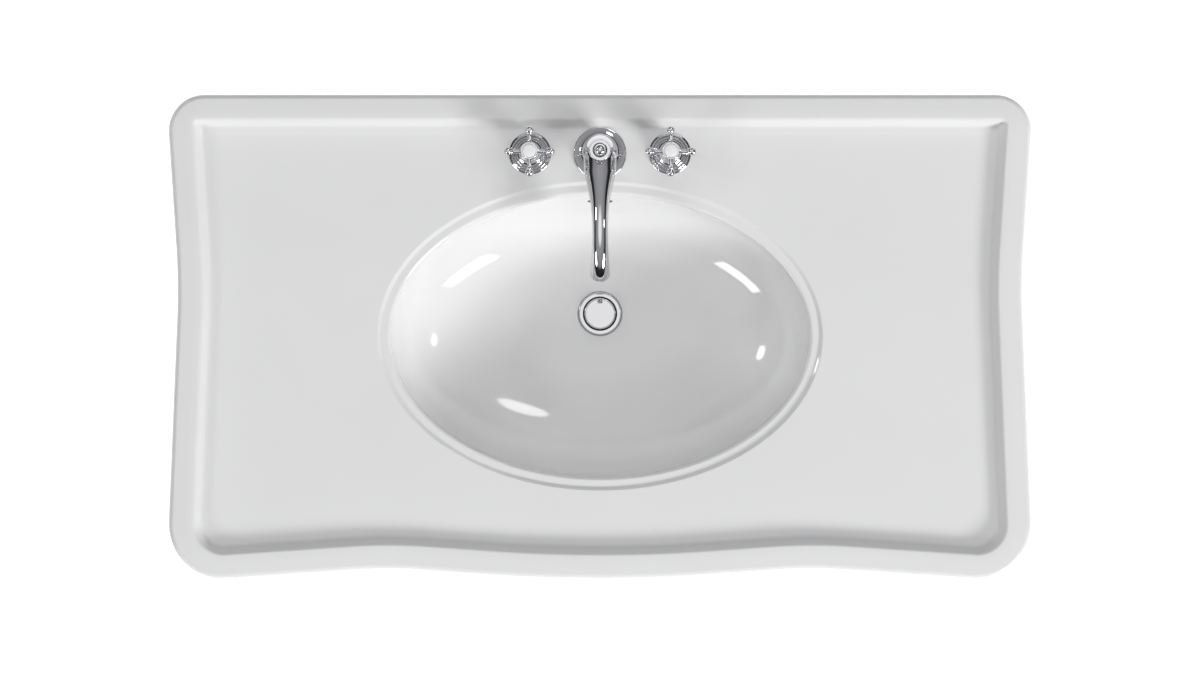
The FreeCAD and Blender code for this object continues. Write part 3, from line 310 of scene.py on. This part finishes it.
# Glazed fireclay: a thick, opaque white glaze over a cream body.  It is glassy and smooth, with the slight
# waviness of a glaze that has run, about a hand's breadth apart, and it is a touch greyer where it lies thin.
glaze = bpy.data.materials.new("white_sanitary_glaze")
glaze.use_nodes = True
tree = glaze.node_tree
tree.nodes.clear()
place = node(tree, "ShaderNodeTexCoord")
drift = node(tree, "ShaderNodeTexNoise", Vector=place.outputs["Object"], Scale=1 / 0.120, Detail=2.0,
             Roughness=0.45)
tone = node(tree, "ShaderNodeMix", {"data_type": "RGBA"}, input0=drift.outputs["Fac"], input6=linear("E9E9E8"),
            input7=linear("EDEDED"))
run = node(tree, "ShaderNodeTexNoise", Vector=place.outputs["Object"], Scale=1 / 0.045, Detail=1.0,
           Roughness=0.3)
wave = node(tree, "ShaderNodeBump", Strength=0.05, Distance=0.0004, Height=run.outputs["Fac"])
polish = node(tree, "ShaderNodeMapRange", Value=drift.outputs["Fac"], input3=0.05, input4=0.09)
shade = node(tree, "ShaderNodeBsdfPrincipled", Base_Color=tone.outputs[2], Roughness=polish.outputs[0],
             IOR=1.52, Normal=wave.outputs[0])
node(tree, "ShaderNodeOutputMaterial", Surface=shade.outputs[0])
basin.data.materials.append(glaze)


# ---------------------------------------------------------------- escutcheons
# Two bells that screw down over the valves and hide the tap holes, turned with three rounded bands below a
# shoulder and a fine groove over each band.  Brass, polished on a mop and plated with nickel and chromium.
def spun(name, profile, centre=(0, 0, 0), count=72, closed=False):
    """A lathe-turned surface about a vertical axis, from (radius, height) points."""
    rings = []
    for radius, rise in profile:
        turns = [2 * math.pi * k / count for k in range(count)] if radius > 1e-6 else [0.0]
        rings.append([(centre[0] + radius * math.cos(t), centre[1] + radius * math.sin(t), centre[2] + rise)
                      for t in turns])
    return skinned(name, rings, closed)


def in_mm(points):
    """A section written in millimetres, as metres."""
    return [tuple(value / 1000 for value in point) for point in points]


def finished(made, body, slot, material, *nodes):
    """Gives a piece its material, the body that it moves with and the CAD nodes that it stands for."""
    made.data.materials.clear()
    made.data.materials.append(material)
    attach(made, body)
    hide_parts(*nodes)


def chrome_plate(name, dark, light, dull, wave):
    """Bright chromium over nickel.  It mirrors the room in cool grey, and its mopping leaves faint waves."""
    plate = bpy.data.materials.new(name)
    plate.use_nodes = True
    tree = plate.node_tree
    tree.nodes.clear()
    place = node(tree, "ShaderNodeTexCoord")
    mop = node(tree, "ShaderNodeTexNoise", Vector=place.outputs["Object"], Scale=1 / 0.011, Detail=2.0)
    bloom = node(tree, "ShaderNodeTexNoise", Vector=place.outputs["Object"], Scale=1 / 0.035, Detail=3.0)
    gloss = node(tree, "ShaderNodeMapRange", Value=bloom.outputs["Fac"], input1=0.3, input2=0.7, input3=dull,
                 input4=dull * 2)
    ripple = node(tree, "ShaderNodeBump", Strength=wave, Distance=0.0001, Height=mop.outputs["Fac"])
    tint = node(tree, "ShaderNodeMix", {"data_type": "RGBA"}, input0=bloom.outputs["Fac"], input6=linear(dark),
                input7=linear(light))
    shade = node(tree, "ShaderNodeBsdfPrincipled", Base_Color=tint.outputs[2], Metallic=1.0,
                 Roughness=gloss.outputs[0], Normal=ripple.outputs[0])
    node(tree, "ShaderNodeOutputMaterial", Surface=shade.outputs[0])
    return plate


def geometry_tree(name, **inputs):
    """A geometry node tree with a named input for each size, and its group input node."""
    tree = bpy.data.node_groups.new(name, "GeometryNodeTree")
    tree.interface.new_socket("Geometry", in_out="OUTPUT", socket_type="NodeSocketGeometry")
    tree.interface.new_socket("Geometry", in_out="INPUT", socket_type="NodeSocketGeometry")
    for label, kind in inputs.items():
        tree.interface.new_socket(label.replace("_", " "), in_out="INPUT", socket_type="NodeSocket" + kind)
    return tree, node(tree, "NodeGroupInput")


def made_by(tree, made, **values):
    """Runs a piece through a geometry node tree and keeps the result as a plain mesh."""
    grown = made.modifiers.new("grown", "NODES")
    grown.node_group = tree
    for item in tree.interface.items_tree:
        if item.in_out == "INPUT" and item.name.replace(" ", "_") in values:
            grown[item.identifier] = values[item.name.replace(" ", "_")]
    mesh = bpy.data.meshes.new_from_object(made.evaluated_get(bpy.context.evaluated_depsgraph_get()))
    made.modifiers.clear()
    plain = made.data
    made.data = mesh
    bpy.data.meshes.remove(plain)
    return made


tap_chrome = chrome_plate("mopped_chrome_plate", "D4D4D6", "DADADC", 0.035, 0.10)
TAP_X, TAP_Y = 0.099, 0.260
VALVES = {"hot": (-TAP_X, TAP_Y, DECK), "cold": (TAP_X, TAP_Y, DECK)}
bell = rounded(in_mm([(27.0, 0.0, 0), (30.0, 0.0, 0.2),
                      (30.0, 1.2, 2.2), (26.9, 3.2, 0.2), (26.5, 1.4, 0.1),
                      (26.0, 4.9, 1.6), (22.5, 6.9, 0.2), (22.0, 5.0, 0.1),
                      (21.6, 8.2, 1.4), (18.8, 9.8, 0.2), (18.3, 8.2, 0.1),
                      (18.0, 11.6, 1.2), (15.6, 13.4, 3), (12.9, 19.0, 8), (12.5, 25.3, 0.5),
                      (13.5, 25.8, 0.4), (13.5, 29.7, 0.9), (11.4, 30.0, 0.3), (10.2, 30.0, 0.1),
                      (10.2, 19.0, 1), (13.0, 11.0, 2), (17.0, 6.0, 2), (23.0, 2.5, 1), (27.0, 0.5, 0)]),
               guard=0.0002)
tree, sizes = geometry_tree("one_over_each_valve", First="Vector", Step="Vector", Count="Int",
                            Finish="Material")
row = node(tree, "GeometryNodeMeshLine", {"mode": "OFFSET"}, Count=sizes.outputs["Count"],
           Start_Location=sizes.outputs["First"], Offset=sizes.outputs["Step"])
each = node(tree, "GeometryNodeInstanceOnPoints", Points=row.outputs[0], Instance=sizes.outputs["Geometry"])
real = node(tree, "GeometryNodeRealizeInstances", Geometry=each.outputs[0])
coated = node(tree, "GeometryNodeSetMaterial", Geometry=real.outputs[0], Material=sizes.outputs["Finish"])
node(tree, "NodeGroupOutput", Geometry=coated.outputs[0])
bells = made_by(tree, spun("tap_escutcheons", bell, closed=True), First=VALVES["hot"],
                Step=(2 * TAP_X, 0, 0), Count=2, Finish=tap_chrome)
finished(bells, "basin_and_stand", "tap_chrome", tap_chrome, "hot_escutcheon", "cold_escutcheon")


# ---------------------------------------------------------------- cross handles
# A turned hub with a cup on top, and four turned arms with a collar and a ball end, screwed into it at right
# angles.  Chromed brass.  A plain white porcelain button lies in the cup and hides the handle's screw.
def flowing(points, steps=5):
    """A smooth line through the points."""
    line = []
    for before, here, ahead, beyond in zip([points[0]] + points, points, points[1:], points[2:] + [points[-1]]):
        for t in (k / steps for k in range(steps)):
            line.append(tuple(0.5 * (2 * b + (c - a) * t + (2 * a - 5 * b + 4 * c - d) * t * t
                                     + (3 * b - a - 3 * c + d) * t ** 3)
                              for a, b, c, d in zip(before, here, ahead, beyond)))
    return line + [points[-1]]


def ball_line(radius, middle, first, last, step=9):
    """(radius, height) points round a ball, from one angle of latitude to another."""
    count = round((last - first) / step)
    angles = [math.radians(first + (last - first) * k / count) for k in range(count + 1)]
    return [(radius * max(math.cos(a), 0.0), middle + radius * math.sin(a)) for a in angles]


# Glazed porcelain: whiter than the basin, glassy, with the odd pale cloud in its glaze.
porcelain = bpy.data.materials.new("white_porcelain")
porcelain.use_nodes = True
tree = porcelain.node_tree
tree.nodes.clear()
place = node(tree, "ShaderNodeTexCoord")
cloud = node(tree, "ShaderNodeTexNoise", Vector=place.outputs["Object"], Scale=1 / 0.004, Detail=2.0)
tone = node(tree, "ShaderNodeMix", {"data_type": "RGBA"}, input0=cloud.outputs["Fac"], input6=linear("F4F4F2"),
            input7=linear("FAFAF8"))
gloss = node(tree, "ShaderNodeMapRange", Value=cloud.outputs["Fac"], input3=0.08, input4=0.14)
shade = node(tree, "ShaderNodeBsdfPrincipled", Base_Color=tone.outputs[2], Roughness=gloss.outputs[0], IOR=1.5)
node(tree, "ShaderNodeOutputMaterial", Surface=shade.outputs[0])

HUB_FOOT, ARM_HEIGHT, CUP_FLOOR = 0.0306, 0.046, 0.0542
hub = (flowing(in_mm([(12.0, 30.6), (12.4, 32.2), (11.4, 33.8), (9.6, 36.0), (8.8, 39.0), (8.8, 41.5)]))
       + in_mm([(9.6, 42.4), (9.8, 43.0), (9.8, 49.0), (9.4, 50.1), (9.0, 50.4), (9.0, 51.4)])
       + flowing(in_mm([(9.4, 51.8), (11.2, 53.2), (11.9, 54.6)]))
       + in_mm([(11.9, 57.9), (11.85, 58.2), (11.7, 58.4), (11.5, 58.45), (10.0, 58.45), (9.8, 58.35),
                (9.7, 58.1), (9.7, 54.2)]))
hub = [(0, HUB_FOOT)] + hub + [(0, CUP_FLOOR)]
arm = ([(0, 0.006)] + flowing(in_mm([(4.6, 6), (3.7, 11.5), (3.1, 15), (3.0, 21), (3.3, 23)]))
       + in_mm([(4.1, 23.3), (4.7, 24.1), (4.8, 24.6), (4.7, 25.1), (4.0, 25.8)])
       + ball_line(0.0057, 0.0299, -42, 90))
button = [(0, CUP_FLOOR), (0.0092, CUP_FLOOR)] + in_mm(
    [(9.2, 58.2), (9.1, 58.5), (8.9, 58.65), (8.6, 58.75), (7.0, 58.95), (4.0, 59.2), (0, 59.3)])

tree, sizes = geometry_tree("arms_round_a_hub", Hub="Vector", Arms="Int", Finish="Material")
spots = node(tree, "GeometryNodeMeshLine", {"mode": "OFFSET"}, Count=sizes.outputs["Arms"],
             Start_Location=sizes.outputs["Hub"], Offset=(0, 0, 0))
which = node(tree, "GeometryNodeInputIndex")
share = node(tree, "ShaderNodeMath", {"operation": "DIVIDE"}, input0=which.outputs[0],
             input1=sizes.outputs["Arms"])
turn = node(tree, "ShaderNodeMath", {"operation": "MULTIPLY"}, input0=share.outputs[0], input1=2 * math.pi)
about = node(tree, "ShaderNodeCombineXYZ", Z=turn.outputs[0])
swing = node(tree, "FunctionNodeEulerToRotation", Euler=about.outputs[0])
arms = node(tree, "GeometryNodeInstanceOnPoints", Points=spots.outputs[0], Instance=sizes.outputs["Geometry"],
            Rotation=swing.outputs[0])
real = node(tree, "GeometryNodeRealizeInstances", Geometry=arms.outputs[0])
coated = node(tree, "GeometryNodeSetMaterial", Geometry=real.outputs[0], Material=sizes.outputs["Finish"])
node(tree, "NodeGroupOutput", Geometry=coated.outputs[0])
for side, (x, y, z) in VALVES.items():
    cross = spun(side + "_handle_arms", arm, count=28)
    cross.data.transform(Matrix.Rotation(math.pi / 2, 4, "Y"))
    made_by(tree, cross, Hub=(x, y, z + ARM_HEIGHT), Arms=4, Finish=tap_chrome)
    finished(cross, side + "_tap", "tap_chrome", tap_chrome, side + "_handle")
    finished(spun(side + "_handle_hub", hub, (x, y, z), 48), side + "_tap", "tap_chrome", tap_chrome,
             side + "_handle")
    finished(spun(side + "_index_button", button, (x, y, z), 48), side + "_tap", "index_porcelain", porcelain,
             side + "_index")


# ---------------------------------------------------------------- spout
# A turned column with a round foot, a bead, an urn and a collar, and a swan neck that grows out of its front
# and narrows, then swells again towards the outlet.  Cast and turned brass, chromed.
SPOUT = Vector((0, TAP_Y, DECK))
BEAD_MIDDLE, BEAD_OUT, BEAD_UP = (19.9, 20.6), 2.3, 2.2     # millimetres: its middle and its half sizes
turns = [math.radians(angle) for angle in range(-80, 81, 16)]
bead = [(BEAD_MIDDLE[0] + BEAD_OUT * math.cos(t), BEAD_MIDDLE[1] + BEAD_UP * math.sin(t)) for t in turns]
column = (in_mm([(2.9, 0), (37.2, 0), (37.5, 0.3), (37.5, 2.0), (37.1, 2.9)])
          + flowing(in_mm([(36.0, 3.6), (31.5, 5.0), (26.5, 7.6), (22.6, 11.2), (20.4, 15.4), (19.8, 18.0)]))
          + in_mm([(19.9, 18.3)] + bead + [(19.9, 22.9)]))
column += flowing(in_mm([(20.0, 23.2), (21.6, 26.4), (23.8, 30.6), (25.0, 35.6), (24.8, 41.4), (22.6, 47.4),
                         (18.8, 52.6), (14.8, 56.8), (12.2, 60.2), (11.6, 63.4)]))
column += in_mm([(12.4, 64.5), (13.8, 65.4), (14.5, 66.2), (14.7, 67.2), (14.7, 71.2), (14.6, 71.6),
                 (14.4, 71.9), (14.1, 72.0), (10.3, 72.0), (10.0, 71.9), (9.8, 71.6), (9.7, 71.0),
                 (9.6, 68.6), (9.3, 67.2), (8.6, 66.5), (2.9, 66.5)])
NECK = in_mm([(12, 36, 23.4), (34, 45, 21.6), (58, 57, 16.0), (82, 66.5, 12.6), (107, 70.5, 11.3),
              (132, 67.5, 11.6), (152, 58.5, 12.6), (165, 48.5, 13.6), (171.5, 40.5, 14.2)])
stations = [Vector(point) for point in flowing(NECK, 8)]
sections = []                                           # (middle, heading, radius) along the neck
for k, (reach, rise, radius) in enumerate(stations):
    ahead = (stations[min(k + 1, len(stations) - 1)] - stations[max(k - 1, 0)]).to_2d().normalized()
    sections.append((SPOUT + Vector((0, -reach, rise)), Vector((0, -ahead.x, ahead.y)), radius))
outlet, heading = sections[-1][:2]
for radius, out in in_mm([(14.0, 0.5), (13.4, 0.9), (11.6, 0.9), (10.8, 0.5), (10.6, -0.3), (10.6, -7.0)]):
    sections.append((outlet + heading * out, heading, radius))
turns = [2 * math.pi * k / 64 for k in range(64)]
neck = []
for middle, heading, radius in sections:
    up = Vector((1, 0, 0)).cross(heading)
    neck.append([tuple(middle + Vector((radius * math.cos(t), 0, 0)) + up * (radius * math.sin(t)))
                 for t in turns])
neck = [[tuple(sections[0][0])]] + neck + [[tuple(sections[-1][0])]]
spout = spun("spout_column", column, tuple(SPOUT), 96, closed=True)
finished(spout, "basin_and_stand", "tap_chrome", tap_chrome, "spout_body")
finished(skinned("spout_neck", neck), "basin_and_stand", "tap_chrome", tap_chrome, "spout_body")
TIP_OUT, TIP_AHEAD, TIP_RISE, TIP_DROOP = 0.0105, 0.071, 0.060, 0.25
tip_line = in_mm([(0, 0), (4.2, 0), (3.3, 2.0), (2.3, 3.6), (1.3, 5.6), (0.5, 7.4), (0, 8.0)])
for name, side in (("spout_tip_left", -1), ("spout_tip_right", 1)):
    tip = spun(name, tip_line, count=24)
    lean = Vector((0, 0, 1)).rotation_difference(Vector((side, 0, -TIP_DROOP))).to_matrix().to_4x4()
    tip.data.transform(Matrix.Translation(SPOUT + Vector((side * TIP_OUT, -TIP_AHEAD, TIP_RISE))) @ lean)
    finished(tip, "basin_and_stand", "tap_chrome", tap_chrome, "spout_body")


# ---------------------------------------------------------------- lift knob
# A ball on a short neck that stands in the collar of the spout: pulled up, it shuts the waste.  Turned and
# chromed brass, screwed on the lift rod.
knob = (in_mm([(0, 66.9), (5.4, 66.9), (5.6, 67.1), (5.6, 67.8), (5.2, 68.1)])
        + flowing(in_mm([(4.4, 68.2), (3.8, 68.5), (3.9, 68.8)]), 3) + ball_line(0.0086, 0.0764, -60, 90, 7.5))
finished(spun("lift_knob_ball", knob, tuple(SPOUT), 48), "lift", "tap_chrome", tap_chrome, "lift_knob")


# ---------------------------------------------------------------- waste
# A flanged brass tube through the bottom of the bowl, sealed to the ceramic and held by a nut from below,
# and a crowned plug that stands a little above it on its stem.  Both are chromed.
SEAT = floor_z - REBATE_DEPTH
# The flange and the crown lie about a quarter of a millimetre over the solids, with softer edges than theirs.
flange = (in_mm([(18.7, -2.3), (23.3, 1.8)])
          + flowing(in_mm([(23.9, 3.0), (24.6, 3.8), (26.0, 4.1), (29.0, 4.1), (31.1, 3.4), (31.9, 1.9),
                           (32.1, 0.4)]), 4)
          + in_mm([(32.1, 0.1), (21.0, 0.1), (21.0, -20.0), (18.7, -20.0)]))
finished(spun("waste_flange", flange, (0, WASTE_Y, SEAT), 96, closed=True), "basin_and_stand", "tap_chrome",
         tap_chrome)

PLUG_TRAVEL, PLUG_STAND = 0.0061525, 0.0014             # its way down, and its height over the seat when shut
crown = [(0, -0.0003)] + flowing(in_mm([(18.1, -0.3), (21.4, 0.8), (22.7, 1.7), (22.7, 2.8), (21.6, 3.7),
                                       (17.0, 4.4), (10.0, 4.85), (0, 5.05)]), 5)
finished(spun("waste_plug_crown", crown, (0, WASTE_Y, SEAT + PLUG_TRAVEL + PLUG_STAND), 72), "plug",
         "tap_chrome", tap_chrome)


# ---------------------------------------------------------------- stand
# Four turned legs, cast and drawn brass tube polished and chromed, each with beads above and below its
# fittings and a bell-shaped levelling foot on a threaded stud.
def bead_line(low, high, waist, crest, count=10):
    """(radius, height) points round a turned bead between two heights."""
    turns = [math.pi * k / count for k in range(count + 1)]
    return [(waist + (crest - waist) * math.sin(t), low + (high - low) * (1 - math.cos(t)) / 2) for t in turns]


stand_chrome = chrome_plate("polished_chrome_tube", "AEAFB3", "B9BABE", 0.045, 0.14)
LEG_X, FRONT_LEG_Y, BACK_LEG_Y = 0.540, -0.2725, 0.290
LEG_FOOT, LEG_TOP, LEG_BEADS = 0.026, 0.787, (0.153, 0.277, 0.643)
leg = [(0, LEG_FOOT)] + bead_line(LEG_FOOT, LEG_FOOT + 0.020, 0.0160, 0.0186)
for height in LEG_BEADS:
    leg += bead_line(height - 0.0130, height - 0.0084, 0.0160, 0.0188, 8)
    leg += bead_line(height - 0.0084, height + 0.0084, 0.0168, 0.0212, 12)
    leg += bead_line(height + 0.0084, height + 0.0130, 0.0160, 0.0188, 8)
leg += bead_line(LEG_TOP - 0.030, LEG_TOP - 0.023, 0.0165, 0.0192, 8)
leg += flowing([(r, LEG_TOP - drop) for r, drop in in_mm([(17.0, 22.5), (17.6, 16), (20.4, 8), (24.4, 4.6)])])
leg += [(0.025, LEG_TOP - 0.0040), (0.025, LEG_TOP), (0, LEG_TOP)]
tree, sizes = geometry_tree("one_at_each_corner", Spread_X="Float", Spread_Y="Float", Middle="Vector",
                            Finish="Material")
corners = node(tree, "GeometryNodeMeshGrid", Size_X=sizes.outputs["Spread X"], Size_Y=sizes.outputs["Spread Y"],
               Vertices_X=2, Vertices_Y=2)
moved = node(tree, "GeometryNodeTransform", Geometry=corners.outputs[0], Translation=sizes.outputs["Middle"])
each = node(tree, "GeometryNodeInstanceOnPoints", Points=moved.outputs[0], Instance=sizes.outputs["Geometry"])
real = node(tree, "GeometryNodeRealizeInstances", Geometry=each.outputs[0])
coated = node(tree, "GeometryNodeSetMaterial", Geometry=real.outputs[0], Material=sizes.outputs["Finish"])
node(tree, "NodeGroupOutput", Geometry=coated.outputs[0])
legs = made_by(tree, spun("stand_legs", leg, count=48), Spread_X=2 * LEG_X, Spread_Y=BACK_LEG_Y - FRONT_LEG_Y,
               Middle=(0, (BACK_LEG_Y + FRONT_LEG_Y) / 2, 0), Finish=stand_chrome)
corner_names = ("front_left", "front_right", "back_left", "back_right")
finished(legs, "basin_and_stand", "stand_chrome", stand_chrome, *[name + "_leg" for name in corner_names])

foot = [(0, 0)] + in_mm([(22.6, 0), (23.6, 0.4), (24.0, 1.3), (24.0, 3.9), (23.5, 5.1), (22.4, 5.7)])
foot += flowing(in_mm([(20.6, 6.2), (18.4, 7.4), (16.4, 9.6), (14.9, 12.6), (13.9, 16.4)]))
foot += bead_line(0.0170, 0.0240, 0.0136, 0.0156) + [(0.0136, 0.026), (0.006, 0.026)]
THREAD_PITCH, FIRST_CREST, FIRST_ROOT = 0.00175, (0.0060, 0.0265), (0.0053, 0.0274)
for turn in range(17):
    foot += [(radius, rise + THREAD_PITCH * turn) for radius, rise in (FIRST_CREST, FIRST_ROOT)]
foot += [(FIRST_ROOT[0], 0.057), (0, 0.057)]
for name in corner_names:
    x, y = (-LEG_X if "left" in name else LEG_X), (FRONT_LEG_Y if "front" in name else BACK_LEG_Y)
    finished(spun(name + "_bell_foot", foot, (x, y, 0), 48), name + "_levelling_foot", "stand_chrome",
             stand_chrome, name + "_foot")

CROSS_RAIL_MIDDLE = (0, 0.110, 0.215)
half_boss = (flowing(in_mm([(18.4, 0), (17.0, 10.4), (13.6, 17.0), (10.6, 21.0)]))
             + bead_line(0.0214, 0.0254, 0.0098, 0.0120, 8))
boss = [(0.0077, -0.026)] + [(r, -z) for r, z in reversed(half_boss)] + half_boss[1:] + [(0.0077, 0.026)]
ball = spun("cross_rail_turned_boss", boss, count=48, closed=True)
ball.data.transform(Matrix.Translation(CROSS_RAIL_MIDDLE) @ Matrix.Rotation(math.pi / 2, 4, "Y"))
finished(ball, "basin_and_stand", "stand_chrome", stand_chrome, "cross_rail_boss")


# ---------------------------------------------------------------- other metals, rubber and the valve's discs
# What lies under the deck keeps its CAD shape: machined brass valves and nuts, copper tubes, stainless
# screws and clip, rubber washers and pads, and the ground ceramic discs of the valves.
def worked_metal(name, dark, light, grain, dull):
    """Bare metal with fine tool marks: light and dark grains, drawn coarser than real, in a dull polish."""
    metal = bpy.data.materials.new(name)
    metal.use_nodes = True
    tree = metal.node_tree
    tree.nodes.clear()
    place = node(tree, "ShaderNodeTexCoord")
    stretch = node(tree, "ShaderNodeMapping", Vector=place.outputs["Object"], Scale=(1, 1, 8))
    marks = node(tree, "ShaderNodeTexNoise", Vector=stretch.outputs[0], Scale=1 / grain, Detail=4.0)
    stain = node(tree, "ShaderNodeTexNoise", Vector=place.outputs["Object"], Scale=1 / 0.018, Detail=3.0)
    tone = node(tree, "ShaderNodeMix", {"data_type": "RGBA"}, input0=stain.outputs["Fac"], input6=linear(dark),
                input7=linear(light))
    gloss = node(tree, "ShaderNodeMapRange", Value=marks.outputs["Fac"], input3=dull, input4=dull + 0.12)
    lines = node(tree, "ShaderNodeBump", Strength=0.15, Distance=0.0001, Height=marks.outputs["Fac"])
    shade = node(tree, "ShaderNodeBsdfPrincipled", Base_Color=tone.outputs[2], Metallic=1.0,
                 Roughness=gloss.outputs[0], Normal=lines.outputs[0])
    node(tree, "ShaderNodeOutputMaterial", Surface=shade.outputs[0])
    return metal


def moulded(name, dark, light, grain, dull):
    """A matt body with a fine even grain, for rubber and for ground ceramic."""
    body = bpy.data.materials.new(name)
    body.use_nodes = True
    tree = body.node_tree
    tree.nodes.clear()
    place = node(tree, "ShaderNodeTexCoord")
    speck = node(tree, "ShaderNodeTexNoise", Vector=place.outputs["Object"], Scale=1 / grain, Detail=3.0)
    tone = node(tree, "ShaderNodeMix", {"data_type": "RGBA"}, input0=speck.outputs["Fac"], input6=linear(dark),
                input7=linear(light))
    rough = node(tree, "ShaderNodeBump", Strength=0.2, Distance=0.0001, Height=speck.outputs["Fac"])
    shade = node(tree, "ShaderNodeBsdfPrincipled", Base_Color=tone.outputs[2], Roughness=dull, IOR=1.5,
                 Normal=rough.outputs[0])
    node(tree, "ShaderNodeOutputMaterial", Surface=shade.outputs[0])
    return body


finishes = {"tap_chrome": tap_chrome, "stand_chrome": stand_chrome, "basin_glaze": glaze,
            "index_porcelain": porcelain,
            "raw_brass": worked_metal("machined_brass", "B89455", "D9BB7C", 0.0012, 0.22),
            "copper_tube": worked_metal("drawn_copper", "B67A5E", "D79B7E", 0.0015, 0.20),
            "steel": worked_metal("brushed_stainless_steel", "A9A9A6", "C2C2BF", 0.0010, 0.25),
            "rubber": moulded("black_rubber", "161616", "262625", 0.0008, 0.62),
            "disc_ceramic": moulded("ground_alumina", "DDD8CB", "ECE8DD", 0.0006, 0.38)}
for piece in frame["record"]["subparts"]:
    for held in frame["nodes"][piece["node"]].material_slots:
        held.material = finishes[piece["material_slot"]]
